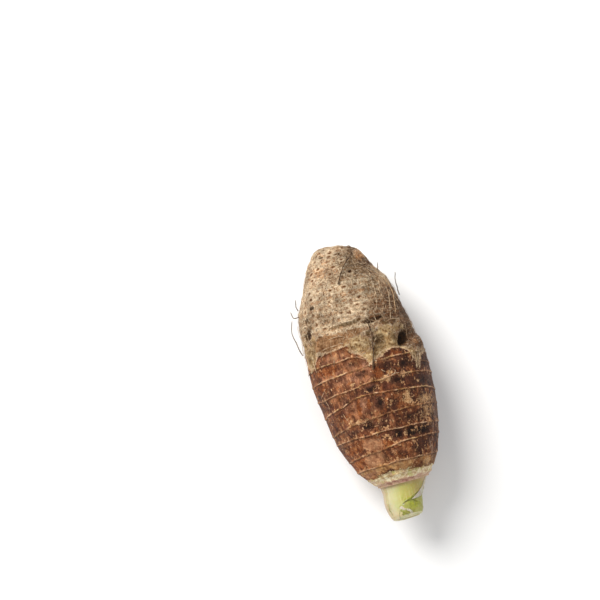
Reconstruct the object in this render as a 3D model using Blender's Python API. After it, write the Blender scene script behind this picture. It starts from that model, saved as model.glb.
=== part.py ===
"""Taro root, lying on its side.

One corm with the scars of its old leaves round it, the trimmed leaf bases at its
shoot end, the short cut stub of the last leaf stalk with the young leaf folded
inside it, and the dry rootlets that are left on its root end.

Metres, +Z up. The long axis runs along Y, with the cut stalk at -Y and the root
end at +Y. The origin is on the surface that the corm lies on, under the middle of
its bounding box. Positions along the axis are given in millimetres from the cut
end of the stalk, and called s.
"""

import math

import bpy
import numpy as np

# ---------------------------------------------------------------- driving dimensions, mm
LENGTH = 199.0  # cut end of the stalk to root tip
AXIS_HEIGHT = 37.9  # the corm's axis above the surface it lies on
X_MIDDLE = -1.6  # middle of the bounding box, from the axis
GAP = 0.3  # clearance between pieces that touch
REST_BLEND = 0.7  # how softly the underside runs into its flat

# The corm's outline: s, edge at -X, edge at +X, height above the axis, depth below it.
CORM = (
    (32.2, -21.0, 26.0, 23.0, 22.4),
    (35.7, -24.2, 28.3, 25.8, 25.2),
    (39.9, -27.2, 30.6, 28.3, 27.9),
    (47.3, -30.2, 33.6, 31.4, 31.4),
    (53.9, -32.8, 35.8, 33.6, 34.0),
    (62.3, -34.9, 37.9, 35.6, 36.4),
    (72.1, -37.2, 40.0, 37.2, 38.2),
    (82.6, -39.0, 41.4, 38.3, 39.2),
    (93.1, -40.5, 41.7, 38.9, 39.6),
    (103.6, -41.3, 41.4, 39.0, 39.8),
    (116.2, -41.4, 40.5, 38.4, 39.7),
    (123.9, -41.4, 38.6, 37.8, 39.4),
    (131.6, -41.6, 37.9, 37.0, 38.8),
    (138.6, -41.2, 36.3, 36.2, 37.8),
    (145.6, -40.7, 34.5, 35.2, 36.2),
    (152.6, -39.5, 33.0, 33.8, 34.2),
    (159.6, -37.4, 31.5, 32.0, 31.8),
    (167.3, -34.1, 28.6, 29.4, 28.8),
    (173.6, -31.3, 24.4, 26.8, 26.0),
    (180.3, -28.4, 21.0, 23.4, 22.4),
    (186.6, -25.3, 18.4, 19.6, 18.6),
    (191.5, -21.8, 14.0, 15.6, 14.8),
    (195.6, -17.6, 6.4, 10.4, 9.8),
    (198.2, -13.4, -3.2, 4.6, 4.4),
)
ROOT_TIP = (199.0, -8.6)  # s, x of the root tip

# The leaf scars: ridges round the corm, at s on the -X side, on top and on the +X side.
SCARS = (
    (39.4, 41.0, 40.3),
    (48.0, 52.2, 53.2),
    (62.1, 63.2, 60.6),
    (68.5, 73.8, 73.4),
    (83.5, 89.0, 82.6),
    (94.0, 97.4, 95.4),
    (105.6, 108.8, 103.0),
    (142.0, 139.4, 134.0),
)
SCAR_HEIGHT = 0.7
SCAR_WIDTH = 1.3
BUD_HOLE = (121.6, 42.6, 4.4, 4.6)  # s, angle in degrees, radius, depth

AROUND = 56  # points round the corm

# The collar of trimmed leaf bases: s, edges at -X and +X, height above and below the axis.
COLLAR = (
    (26.6, -15.6, 20.6, 16.2, 16.0),
    (28.2, -17.4, 22.4, 18.4, 18.0),
    (30.2, -19.2, 23.6, 20.4, 20.0),
    (31.9, -20.4, 24.0, 21.4, 21.0),
)

# The stalk's stub: s, edges at -X and +X, height above and below the axis.
STALK = (
    (0.0, -9.6, 10.4, 9.6, 9.2),
    (2.4, -11.0, 11.2, 10.8, 10.2),
    (7.8, -12.7, 12.4, 11.8, 11.2),
    (14.0, -13.2, 13.6, 12.4, 11.8),
    (20.0, -13.3, 16.0, 13.0, 12.4),
    (26.3, -14.4, 19.4, 14.6, 14.2),
)
SHEATH_WALL = 3.4  # thickness of the outer stalk's wall at its back
SHEATH_LIP = 1.2  # and at its two free edges
# The angle at which the outer stalk's front edge lies, at s: it runs slanting down the front.
SHEATH_EDGE = ((0.0, 112.0), (4.0, 112.0), (8.1, 112.0), (10.4, 90.0), (13.8, 64.0), (16.5, 44.0), (20.0, 26.0), (26.3, 18.0))
SHEATH_BACK = 318.0  # the angle of its back edge

# Rootlets: name, diameter, then its route: s, angle round the corm in degrees (0 at +X,
# 90 on top) and how far it stands off the skin.
ROOTLETS = (
    ("rootlet_01", 1.0, ((190.4, 52, 0.4), (182.7, 75, 0.8), (176.3, 87, 0.5), (168.4, 97, 0.2))),
    ("rootlet_02", 0.9, ((169.2, 39, 0.2), (164.1, 28, 0.6), (159.2, 29, 0.6), (153.9, 31, 0.5), (148.8, 36, 0.4), (139.6, 44, 0.5))),
    ("rootlet_03", 0.8, ((169.7, 3, 7.4), (163.6, 3, 2.8), (157.8, 4, 1.0), (152.6, 8, 0.2))),
    ("rootlet_04", 0.8, ((178.8, 6, 3.2), (176.0, 10, 1.6), (173.3, 19, 0.2))),
    ("rootlet_05", 0.8, ((168.2, 176, 3.4), (163.2, 174, 2.0), (160.1, 172, 0.2))),
    ("rootlet_06", 0.8, ((160.8, 178, 5.2), (156.2, 176, 2.8), (155.1, 165, 0.2))),
    ("rootlet_07", 0.9, ((155.0, 180, 3.4), (146.2, 180, 4.2), (140.9, 179, 3.2), (134.1, 177, 1.6), (128.7, 172, 0.2))),
    ("rootlet_08", 0.9, ((140.0, 79, 0.9), (130.9, 79, 0.6), (123.8, 81, 0.7), (116.8, 84, 0.6), (104.6, 90, 0.9))),
)

# ---------------------------------------------------------------- the corm's surface


def smooth_rows(rows, at):
    """Rows of numbers read off smoothly at fractions of the way along them."""
    rows = np.asarray(rows, float)
    count = len(rows)
    place = np.clip(np.asarray(at, float), 0.0, 1.0) * (count - 1)
    i = np.clip(np.floor(place).astype(int), 0, count - 2)
    f = (place - i)[:, None]
    before = np.where((i > 0)[:, None], rows[np.maximum(i - 1, 0)], 2 * rows[i] - rows[i + 1])
    after = np.where(
        (i + 2 < count)[:, None],
        rows[np.minimum(i + 2, count - 1)],
        2 * rows[i + 1] - rows[i],
    )
    a, b = rows[i], rows[i + 1]
    return 0.5 * (
        2 * a
        + (b - before) * f
        + (2 * before - 5 * a + 4 * b - after) * f**2
        + (3 * a - before - 3 * b + after) * f**3
    )


def outline_at(rows, s):
    """The edges, height and depth at s, as monotone cubic curves through the rows."""
    rows = np.asarray(rows, float)
    x, y = rows[:, 0], rows[:, 1:]
    step = np.diff(x)[:, None]
    slope = np.diff(y, axis=0) / step
    tangent = np.empty_like(y)
    tangent[0], tangent[-1] = slope[0], slope[-1]
    both = slope[:-1] * slope[1:] > 0
    with np.errstate(divide="ignore", invalid="ignore"):
        mean = 2 * slope[:-1] * slope[1:] / (slope[:-1] + slope[1:])
    tangent[1:-1] = np.where(both, mean, 0.0)
    s = np.asarray(s, float)
    i = np.clip(np.searchsorted(x, s, side="right") - 1, 0, len(x) - 2)
    h = x[i + 1] - x[i]
    f = (np.clip(s, x[0], x[-1]) - x[i]) / h
    f, h = f[..., None], h[..., None]
    return (
        (1 + 2 * f) * (1 - f) ** 2 * y[i]
        + f * (1 - f) ** 2 * h * tangent[i]
        + f**2 * (3 - 2 * f) * y[i + 1]
        + f**2 * (f - 1) * h * tangent[i + 1]
    )


def scar_s(scar, angle):
    """Where a leaf scar crosses the angle round the corm."""
    left, top, right = scar
    middle = (left + right) / 2
    over = np.where(np.sin(angle) > 0, 1.0, 0.35)
    return (
        middle
        + (right - left) / 2 * np.cos(angle)
        + (top - middle) * over * np.sin(angle) ** 2
    )


def bent_s(along, angle):
    """s for a row of the surface, so that rows follow the leaf scars between them."""
    first, last = CORM[0][0], ROOT_TIP[0]
    places = [first] + [sum(scar) / 3 for scar in SCARS] + [165.0, last]
    shift = [np.zeros_like(angle)]
    shift += [scar_s(scar, angle) - sum(scar) / 3 for scar in SCARS]
    shift += [np.zeros_like(angle), np.zeros_like(angle)]
    k = int(np.clip(np.searchsorted(places, along, side="right") - 1, 0, len(places) - 2))
    f = (along - places[k]) / (places[k + 1] - places[k])
    f = f * f * (3 - 2 * f)
    return along + (1 - f) * shift[k] + f * shift[k + 1]


def lump(s, angle):
    """The corm's unevenness, mm, as a few long waves."""
    calm = np.clip((s - 34) / 25, 0, 1) * np.clip((200 - s) / 20, 0, 1)
    return calm * (
        0.55 * np.sin(3 * angle + 0.045 * s + 0.6)
        + 0.40 * np.sin(5 * angle - 0.07 * s + 2.1)
        + 0.35 * np.sin(0.13 * s + 2 * angle)
    )


def rest_flat(z):
    """Heights above the surface, with what would go through it pressed into a flat."""
    soft = (z + REST_BLEND) ** 2 / (4 * REST_BLEND)
    return np.where(z <= -REST_BLEND, 0.0, np.where(z >= REST_BLEND, z, soft))


def corm_points(s, angle, proud=0.0):
    """Points of the corm's skin, mm, at s and angle (0 at +X, 90 degrees on top)."""
    left, right, up, down = np.moveaxis(outline_at(CORM, s), -1, 0)
    middle, half = (left + right) / 2, (right - left) / 2
    deep = np.where(np.sin(angle) >= 0, up, down)
    more = lump(s, angle) + proud
    x = middle + (half + more) * np.cos(angle)
    z = AXIS_HEIGHT + (deep + more) * np.sin(angle)
    return np.stack([x, s, rest_flat(z)], -1)


def corm_rows():
    """Rows along the corm: one on each scar, one on each side of it, and the plain ones."""
    rows = []
    for scar in SCARS:
        middle = sum(scar) / 3
        rows += [(middle - SCAR_WIDTH, 0.0), (middle, SCAR_HEIGHT), (middle + SCAR_WIDTH, 0.0)]
    taken = [row[0] for row in rows]
    plain = list(np.arange(CORM[0][0] + 3.2, 176.0, 4.2)) + [179.5, 184.0, 188.0, 191.5, 194.6, 196.9, 198.2]
    rows += [(s, 0.0) for s in plain if min(abs(s - t) for t in taken) > 1.5]
    return sorted(rows + [(CORM[0][0], 0.0)])


# ---------------------------------------------------------------- mesh helpers


def object_of(name, points, faces, material, smooth=True):
    """A mesh object from points in mm, given along the corm's own axis."""
    place = np.asarray(points, float) - (X_MIDDLE, LENGTH / 2, 0.0)
    mesh = bpy.data.meshes.new(name)
    mesh.from_pydata((place * 0.001).tolist(), [], faces)
    mesh.update()
    if smooth:
        mesh.shade_smooth()
        mesh.set_sharp_from_angle(angle=math.radians(40))
    mesh.materials.append(material)
    made = bpy.data.objects.new(name, mesh)
    bpy.context.collection.objects.link(made)
    return made


def closed_tube(rings, first, last):
    """Faces and points of rings of equal length, closed by a fan to a point at each end.

    The rings run anticlockwise seen from the last end, looking back to the first.
    """
    rings = [np.asarray(ring, float) for ring in rings]
    count = len(rings[0])
    points = np.concatenate(rings + [np.array([first, last], float)])
    a, b = len(points) - 2, len(points) - 1
    faces = []
    for j in range(count):
        k = (j + 1) % count
        faces.append((a, k, j))
        for i in range(len(rings) - 1):
            low, high = i * count, (i + 1) * count
            faces.append((low + j, low + k, high + k, high + j))
        end = (len(rings) - 1) * count
        faces.append((b, end + j, end + k))
    return points, [tuple(reversed(face)) for face in faces]


def ellipse_rings(rows, around, shrink=0.0, power=2.0):
    """Rings through rows of s, edges, height and depth, drawn in by shrink."""
    turn = np.arange(around) * 2 * math.pi / around
    cos, sin = np.cos(turn), np.sin(turn)
    rings = []
    for s, left, right, up, down in rows:
        middle, half = (left + right) / 2, (right - left) / 2 - shrink
        deep = np.where(sin >= 0, up, down) - shrink
        round_x = np.sign(cos) * np.abs(cos) ** (2 / power)
        round_z = np.sign(sin) * np.abs(sin) ** (2 / power)
        rings.append(
            np.stack(
                [middle + half * round_x, np.full(around, s), AXIS_HEIGHT + deep * round_z],
                -1,
            )
        )
    return rings


def skin_material(name, colour, roughness):
    made = bpy.data.materials.new(name)
    made.use_nodes = True
    shader = made.node_tree.nodes["Principled BSDF"]
    shader.inputs["Base Color"].default_value = (*colour, 1.0)
    shader.inputs["Roughness"].default_value = roughness
    shader.inputs["Metallic"].default_value = 0.0
    made.diffuse_color = (*colour, 1.0)
    return made


# ---------------------------------------------------------------- the pieces


def make_corm(material):
    turn = np.arange(AROUND) * 2 * math.pi / AROUND
    rings = []
    for along, proud in corm_rows():
        s = bent_s(along, turn)
        rings.append(corm_points(s, turn, proud))
    # The old bud's hole: skin near its middle is pushed towards the axis.
    s0, degrees, radius, depth = BUD_HOLE
    centre = corm_points(np.array([s0]), np.array([math.radians(degrees)]))[0]
    for ring in rings:
        away = np.linalg.norm(ring - centre, axis=1)
        push = depth * np.clip(1 - (away / (1.6 * radius)) ** 2, 0, 1)
        inward = np.stack(
            [-ring[:, 0], np.zeros(len(ring)), AXIS_HEIGHT - ring[:, 2]], -1
        )
        inward /= np.linalg.norm(inward, axis=1)[:, None]
        ring += push[:, None] * inward
    middle = (CORM[0][1] + CORM[0][2]) / 2
    first = (middle, CORM[0][0], AXIS_HEIGHT)
    last = (ROOT_TIP[1], ROOT_TIP[0], AXIS_HEIGHT)
    points, faces = closed_tube(rings, first, last)
    return object_of("corm", points, faces, material)


def make_collar(material):
    at = np.linspace(0, 1, 6)
    rings = ellipse_rings(smooth_rows(COLLAR, at), 40)
    first = ((COLLAR[0][1] + COLLAR[0][2]) / 2, COLLAR[0][0], AXIS_HEIGHT)
    last = ((COLLAR[-1][1] + COLLAR[-1][2]) / 2, COLLAR[-1][0], AXIS_HEIGHT)
    points, faces = closed_tube(rings, first, last)
    return object_of("leaf_base_collar", points, faces, material)


def sheath_edge(s):
    """The angle of the outer stalk's front edge at s, in radians."""
    table = np.array(SHEATH_EDGE)
    return math.radians(float(np.interp(s, table[:, 0], table[:, 1])))


def stalk_ring(row, turn, inset):
    """Points of the stalk's cross-section at angles turn, drawn in by inset."""
    s, left, right, up, down = row
    middle, half = (left + right) / 2, (right - left) / 2
    deep = np.where(np.sin(turn) >= 0, up, down)
    return np.stack(
        [
            middle + (half - inset) * np.cos(turn),
            np.full(len(turn), s),
            AXIS_HEIGHT + (deep - inset) * np.sin(turn),
        ],
        -1,
    )


def shell_faces(count, along):
    """Faces of a bent sheet: rings of its outside run out and its inside run back."""
    faces = []
    for i in range(along - 1):
        for j in range(count):
            k = (j + 1) % count
            faces.append((i * count + j, (i + 1) * count + j, (i + 1) * count + k, i * count + k))
    top = (along - 1) * count
    for j in range(count // 2 - 1):
        q, r = count - 1 - j, count - 2 - j
        faces.append((j, j + 1, r, q))
        faces.append((top + j, top + q, top + r, top + j + 1))
    return faces


def make_outer_stalk(material):
    """The outer leaf stalk: a wall that wraps round the inner one and is open at +X."""
    rings = []
    for row in smooth_rows(STALK, np.linspace(0, 1, 16)):
        turn = np.linspace(sheath_edge(row[0]), math.radians(SHEATH_BACK), 27)
        share = np.sin(np.linspace(0, math.pi, len(turn))) ** 0.7
        wall = SHEATH_LIP + (SHEATH_WALL - SHEATH_LIP) * share
        rings.append(
            np.concatenate([stalk_ring(row, turn, 0.0), stalk_ring(row, turn, wall)[::-1]])
        )
    faces = shell_faces(len(rings[0]), len(rings))
    return object_of("outer_leaf_stalk", np.concatenate(rings), faces, material)


def make_inner_stalk(material):
    """The young leaf folded inside: it fills the wall's hollow, clear of it by the gap,
    and swells out towards the stalk's own outline where the wall is open."""
    turn = np.arange(40) * 2 * math.pi / 40
    rows = smooth_rows(STALK, np.linspace(0, 1, 16))
    rows[0, 0] += 0.8
    rings = []
    for row in rows:
        edge, back = sheath_edge(row[0]), math.radians(SHEATH_BACK) - 2 * math.pi
        middle, half = (edge + back) / 2, (edge - back) / 2
        beside = np.abs((turn - middle + math.pi) % (2 * math.pi) - math.pi)
        swell = np.clip((half - 0.14 - beside) / 0.36, 0, 1)
        swell = swell * swell * (3 - 2 * swell)
        rings.append(stalk_ring(row, turn, (SHEATH_WALL + GAP) * (1 - swell) + 1.4 * swell))
    first = ((rows[0, 1] + rows[0, 2]) / 2, rows[0, 0], AXIS_HEIGHT)
    last = ((rows[-1, 1] + rows[-1, 2]) / 2, rows[-1, 0], AXIS_HEIGHT)
    points, faces = closed_tube(rings, first, last)
    return object_of("inner_folded_leaf", points, faces, material)


def make_sheath_margin(material):
    """The thin margin of the sheath, a curved sheet over the opening at +X."""
    rings = []
    for row in smooth_rows(STALK, np.linspace(0.44, 1, 8)):
        high = sheath_edge(row[0]) - math.radians(5)
        share = (row[0] - 9.5) / 17.0
        low = high - math.radians(14 + 22 * share)
        turn = np.linspace(low, high, 9)
        rings.append(
            np.concatenate([stalk_ring(row, turn, 0.1), stalk_ring(row, turn, 0.9)[::-1]])
        )
    faces = shell_faces(len(rings[0]), len(rings))
    return object_of("sheath_margin", np.concatenate(rings), faces, material)


def make_rootlet(name, width, route, material):
    """A dry rootlet: a thin tube along a smooth route over the skin."""
    path = smooth_rows(route, np.linspace(0, 1, 5 * len(route) - 2))
    off = width / 2 + GAP + 0.15 + path[:, 2]
    points = corm_points(path[:, 0], np.radians(path[:, 1]), off)
    curve = bpy.data.curves.new(name, "CURVE")
    curve.dimensions = "3D"
    curve.bevel_depth = width / 2 * 0.001
    curve.bevel_resolution = 1
    curve.use_fill_caps = True
    curve.resolution_u = 1
    spline = curve.splines.new("POLY")
    spline.points.add(len(path) - 1)
    for point, place in zip(spline.points, points):
        x, y, z = (place - (X_MIDDLE, LENGTH / 2, 0.0)) * 0.001
        point.co = (x, y, z, 1.0)
    curve.materials.append(material)
    made = bpy.data.objects.new(name, curve)
    bpy.context.collection.objects.link(made)
    return made


def main():
    for old in list(bpy.data.objects):
        bpy.data.objects.remove(old, do_unlink=True)
    skin = skin_material("corm_skin", (0.27, 0.14, 0.075), 0.75)
    base = skin_material("leaf_base", (0.50, 0.34, 0.20), 0.6)
    green = skin_material("stalk_green", (0.58, 0.57, 0.20), 0.45)
    young = skin_material("young_leaf", (0.44, 0.47, 0.10), 0.45)
    margin = skin_material("sheath_margin_film", (0.55, 0.47, 0.36), 0.4)
    root = skin_material("dry_rootlet", (0.20, 0.13, 0.08), 0.8)
    make_corm(skin)
    make_collar(base)
    make_outer_stalk(green)
    make_inner_stalk(young)
    make_sheath_margin(margin)
    for name, width, route in ROOTLETS:
        make_rootlet(name, width, route, root)


main()
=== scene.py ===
"""The looks of a taro root: ringed brown skin torn off a pale root end, a trimmed leaf
base, a short cut green stalk and dry rootlets. Shapes are worked out in millimetres
along the corm's own axis, as s from the stalk's cut end and an angle round the corm (0 at
+X, 90 degrees on top), and placed in metres in the shared frame.

What the photograph shows is placed by where it is seen: px and py are pixels of the
600 by 600 photograph, and the camera below sees each point at that pixel.
"""

import math

import bpy
import numpy as np
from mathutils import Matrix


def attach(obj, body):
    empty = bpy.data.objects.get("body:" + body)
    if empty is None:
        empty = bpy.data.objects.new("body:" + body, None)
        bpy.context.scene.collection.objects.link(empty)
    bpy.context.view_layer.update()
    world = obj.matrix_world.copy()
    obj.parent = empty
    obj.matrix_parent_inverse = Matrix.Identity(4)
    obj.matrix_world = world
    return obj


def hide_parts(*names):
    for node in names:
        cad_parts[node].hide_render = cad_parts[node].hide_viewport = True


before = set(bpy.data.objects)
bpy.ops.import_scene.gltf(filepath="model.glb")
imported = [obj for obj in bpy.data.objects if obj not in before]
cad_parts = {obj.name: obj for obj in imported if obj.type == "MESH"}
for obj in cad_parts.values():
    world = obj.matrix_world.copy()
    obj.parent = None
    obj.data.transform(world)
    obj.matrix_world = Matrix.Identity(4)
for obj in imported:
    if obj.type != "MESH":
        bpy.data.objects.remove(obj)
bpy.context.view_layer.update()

# ---------------------------------------------------------------- the CAD's own dimensions, mm
LENGTH = 199.0
AXIS_HEIGHT = 37.9
X_MIDDLE = -1.6
GAP = 0.3
REST_BLEND = 0.7
CORM = (
    (32.2, -21.0, 26.0, 23.0, 22.4),
    (35.7, -24.2, 28.3, 25.8, 25.2),
    (39.9, -27.2, 30.6, 28.3, 27.9),
    (47.3, -30.2, 33.6, 31.4, 31.4),
    (53.9, -32.8, 35.8, 33.6, 34.0),
    (62.3, -34.9, 37.9, 35.6, 36.4),
    (72.1, -37.2, 40.0, 37.2, 38.2),
    (82.6, -39.0, 41.4, 38.3, 39.2),
    (93.1, -40.5, 41.7, 38.9, 39.6),
    (103.6, -41.3, 41.4, 39.0, 39.8),
    (116.2, -41.4, 40.5, 38.4, 39.7),
    (123.9, -41.4, 38.6, 37.8, 39.4),
    (131.6, -41.6, 37.9, 37.0, 38.8),
    (138.6, -41.2, 36.3, 36.2, 37.8),
    (145.6, -40.7, 34.5, 35.2, 36.2),
    (152.6, -39.5, 33.0, 33.8, 34.2),
    (159.6, -37.4, 31.5, 32.0, 31.8),
    (167.3, -34.1, 28.6, 29.4, 28.8),
    (173.6, -31.3, 24.4, 26.8, 26.0),
    (180.3, -28.4, 21.0, 23.4, 22.4),
    (186.6, -25.3, 18.4, 19.6, 18.6),
    (191.5, -21.8, 14.0, 15.6, 14.8),
    (195.6, -17.6, 6.4, 10.4, 9.8),
    (198.2, -13.4, -3.2, 4.6, 4.4),
)
ROOT_TIP = (199.0, -8.6)
COLLAR = (
    (26.6, -15.6, 20.6, 16.2, 16.0),
    (28.2, -17.4, 22.4, 18.4, 18.0),
    (30.2, -19.2, 23.6, 20.4, 20.0),
    (31.9, -20.4, 24.0, 21.4, 21.0),
)
STALK = (
    (0.0, -10.9, 10.4, 9.6, 9.2),
    (2.4, -12.3, 11.2, 10.8, 10.2),
    (7.8, -13.5, 12.4, 11.8, 11.2),
    (14.0, -13.7, 13.6, 12.4, 11.8),
    (20.0, -13.5, 16.0, 13.0, 12.4),
    (26.3, -14.4, 19.4, 14.6, 14.2),
)
SHEATH_EDGE = ((0.0, 112.0), (4.0, 112.0), (8.1, 112.0), (10.4, 90.0), (13.8, 64.0), (16.5, 44.0), (20.0, 26.0), (26.3, 18.0))
SHEATH_BACK = 318.0
ROOTLETS = (
    ("rootlet_01", 1.0, ((190.4, 52, 0.4), (182.7, 75, 0.8), (176.3, 87, 0.5), (168.4, 97, 0.2))),
    ("rootlet_02", 0.9, ((169.2, 39, 0.2), (164.1, 28, 0.6), (159.2, 29, 0.6), (153.9, 31, 0.5), (148.8, 36, 0.4), (139.6, 44, 0.5))),
    ("rootlet_03", 0.8, ((169.7, 3, 7.4), (163.6, 3, 2.8), (157.8, 4, 1.0), (152.6, 8, 0.2))),
    ("rootlet_04", 0.8, ((178.8, 6, 3.2), (176.0, 10, 1.6), (173.3, 19, 0.2))),
    ("rootlet_05", 0.8, ((168.2, 176, 3.4), (163.2, 174, 2.0), (160.1, 172, 0.2))),
    ("rootlet_06", 0.8, ((160.8, 178, 5.2), (156.2, 176, 2.8), (155.1, 165, 0.2))),
    ("rootlet_07", 0.9, ((155.0, 180, 3.4), (146.2, 180, 4.2), (140.9, 179, 3.2), (134.1, 177, 1.6), (128.7, 172, 0.2))),
    ("rootlet_08", 0.9, ((140.0, 79, 0.9), (130.9, 79, 0.6), (123.8, 81, 0.7), (116.8, 84, 0.6), (104.6, 90, 0.9))),
)

# ---------------------------------------------------------------- the camera
LENS = 100.0
SENSOR = 36.0
PIXEL = 0.7  # mm of the object's middle plane that one pixel spans
AZIMUTH, ELEVATION = math.radians(-15.1), math.radians(84.0)
SEEN = (377.5, 400.0, 85.5)  # the pixel at which the axis is seen at this s

BACK = np.array(
    [
        math.sin(AZIMUTH) * math.cos(ELEVATION),
        -math.cos(AZIMUTH) * math.cos(ELEVATION),
        math.sin(ELEVATION),
    ]
)
RIGHT = np.array([math.cos(AZIMUTH), math.sin(AZIMUTH), 0.0])
UP = np.cross(BACK, RIGHT)
DISTANCE = 600 * PIXEL * LENS / SENSOR
AIM = (
    np.array([0.0, SEEN[2], AXIS_HEIGHT])
    - (SEEN[0] - 300) * PIXEL * RIGHT
    - (300 - SEEN[1]) * PIXEL * UP
)
EYE = AIM + DISTANCE * BACK


def placed(points):
    """Points in mm along the corm's axis, in metres in the shared frame."""
    return (np.asarray(points, float) - (X_MIDDLE, LENGTH / 2, 0.0)) * 0.001


def seen_at(points):
    """The pixels at which the camera sees points given in mm."""
    d = np.asarray(points, float) - EYE
    depth = -(d @ BACK)
    f = LENS / SENSOR * 600
    return 300 + f * (d @ RIGHT) / depth, 300 - f * (d @ UP) / depth


# ---------------------------------------------------------------- numbers that look random
def chance(i, j, k, seed):
    """Even numbers from 0 to 1 for whole coordinates, the same each time."""
    h = (
        i.astype(np.uint64) * np.uint64(374761393)
        + j.astype(np.uint64) * np.uint64(668265263)
        + k.astype(np.uint64) * np.uint64(2246822519)
        + np.uint64(seed) * np.uint64(3266489917)
    ) & np.uint64(0xFFFFFFFF)
    h = ((h ^ (h >> np.uint64(15))) * np.uint64(2246822519)) & np.uint64(0xFFFFFFFF)
    h = ((h ^ (h >> np.uint64(13))) * np.uint64(3266489917)) & np.uint64(0xFFFFFFFF)
    h = h ^ (h >> np.uint64(16))
    return h.astype(float) / 4294967295.0


def wave_noise(p, size, seed):
    """Smooth noise from -1 to 1 with features of about that size in mm."""
    q = np.asarray(p, float) / size + 1000.0
    cell = np.floor(q).astype(np.int64)
    f = q - cell
    w = f * f * f * (f * (f * 6 - 15) + 10)
    total = np.zeros(len(q))
    for dx in (0, 1):
        for dy in (0, 1):
            for dz in (0, 1):
                i, j, k = cell[:, 0] + dx, cell[:, 1] + dy, cell[:, 2] + dz
                gx = chance(i, j, k, seed) * 2 - 1
                gy = chance(i, j, k, seed + 17) * 2 - 1
                gz = chance(i, j, k, seed + 31) * 2 - 1
                dot = gx * (f[:, 0] - dx) + gy * (f[:, 1] - dy) + gz * (f[:, 2] - dz)
                total += (
                    dot
                    * (w[:, 0] if dx else 1 - w[:, 0])
                    * (w[:, 1] if dy else 1 - w[:, 1])
                    * (w[:, 2] if dz else 1 - w[:, 2])
                )
    return np.clip(total * 1.5, -1, 1)


def rough_noise(p, size, seed, octaves=4, falloff=0.5):
    total, amount, whole = 0.0, 1.0, 0.0
    for o in range(octaves):
        total = total + amount * wave_noise(p, size / 2**o, seed + 101 * o)
        whole += amount
        amount *= falloff
    return total / whole


def eased(v, low, high):
    f = np.clip((np.asarray(v, float) - low) / (high - low), 0, 1)
    return f * f * (3 - 2 * f)


# ---------------------------------------------------------------- the corm's surface, as in the CAD
def smooth_rows(rows, at):
    rows = np.asarray(rows, float)
    count = len(rows)
    place = np.clip(np.asarray(at, float), 0.0, 1.0) * (count - 1)
    i = np.clip(np.floor(place).astype(int), 0, count - 2)
    f = (place - i)[:, None]
    before = np.where((i > 0)[:, None], rows[np.maximum(i - 1, 0)], 2 * rows[i] - rows[i + 1])
    after = np.where(
        (i + 2 < count)[:, None],
        rows[np.minimum(i + 2, count - 1)],
        2 * rows[i + 1] - rows[i],
    )
    a, b = rows[i], rows[i + 1]
    return 0.5 * (
        2 * a
        + (b - before) * f
        + (2 * before - 5 * a + 4 * b - after) * f**2
        + (3 * a - before - 3 * b + after) * f**3
    )


def outline_at(rows, s):
    rows = np.asarray(rows, float)
    x, y = rows[:, 0], rows[:, 1:]
    step = np.diff(x)[:, None]
    slope = np.diff(y, axis=0) / step
    tangent = np.empty_like(y)
    tangent[0], tangent[-1] = slope[0], slope[-1]
    both = slope[:-1] * slope[1:] > 0
    with np.errstate(divide="ignore", invalid="ignore"):
        mean = 2 * slope[:-1] * slope[1:] / (slope[:-1] + slope[1:])
    tangent[1:-1] = np.where(both, mean, 0.0)
    s = np.asarray(s, float)
    i = np.clip(np.searchsorted(x, s, side="right") - 1, 0, len(x) - 2)
    h = x[i + 1] - x[i]
    f = (np.clip(s, x[0], x[-1]) - x[i]) / h
    f, h = f[..., None], h[..., None]
    return (
        (1 + 2 * f) * (1 - f) ** 2 * y[i]
        + f * (1 - f) ** 2 * h * tangent[i]
        + f**2 * (3 - 2 * f) * y[i + 1]
        + f**2 * (f - 1) * h * tangent[i + 1]
    )


def lump(s, angle):
    calm = np.clip((s - 34) / 25, 0, 1) * np.clip((200 - s) / 20, 0, 1)
    return calm * (
        0.55 * np.sin(3 * angle + 0.045 * s + 0.6)
        + 0.40 * np.sin(5 * angle - 0.07 * s + 2.1)
        + 0.35 * np.sin(0.13 * s + 2 * angle)
    )


def rest_flat(z):
    soft = (z + REST_BLEND) ** 2 / (4 * REST_BLEND)
    return np.where(z <= -REST_BLEND, 0.0, np.where(z >= REST_BLEND, z, soft))


def corm_points(s, angle, proud=0.0, pressed=True):
    """Points of the skin; past the last row of the outline it closes in a small dome."""
    s, angle = np.broadcast_arrays(np.asarray(s, float), np.asarray(angle, float))
    left, right, up, down = np.moveaxis(outline_at(CORM, s), -1, 0)
    last = CORM[-1][0]
    over = np.clip((s - last) / (ROOT_TIP[0] - last), 0, 1)
    close = np.sqrt(np.clip(1 - over**2, 0, 1))
    middle = (left + right) / 2 + over * (ROOT_TIP[1] - (CORM[-1][1] + CORM[-1][2]) / 2)
    half = (right - left) / 2 * close
    deep = np.where(np.sin(angle) >= 0, up, down) * close
    more = (lump(s, angle) + proud) * close
    x = middle + (half + more) * np.cos(angle)
    z = AXIS_HEIGHT + (deep + more) * np.sin(angle)
    return np.stack([x, s, rest_flat(z) if pressed else z], -1)


def unit(v):
    return v / np.maximum(np.linalg.norm(v, axis=-1, keepdims=True), 1e-9)


# ---------------------------------------------------------------- what is seen where
_S = np.linspace(33.0, 198.6, 560)
_A = np.radians(np.linspace(-12.0, 192.0, 300))
_SS, _AA = (g.ravel() for g in np.meshgrid(_S, _A, indexing="ij"))
_PX, _PY = seen_at(corm_points(_SS, _AA))


def on_skin(pixels):
    """s and angle in degrees at which the skin is seen, for a list of pixels."""
    found = []
    for px, py in pixels:
        k = int(np.argmin((_PX - px) ** 2 + (_PY - py) ** 2))
        found.append((_SS[k], math.degrees(_AA[k])))
    return np.array(found)


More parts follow.
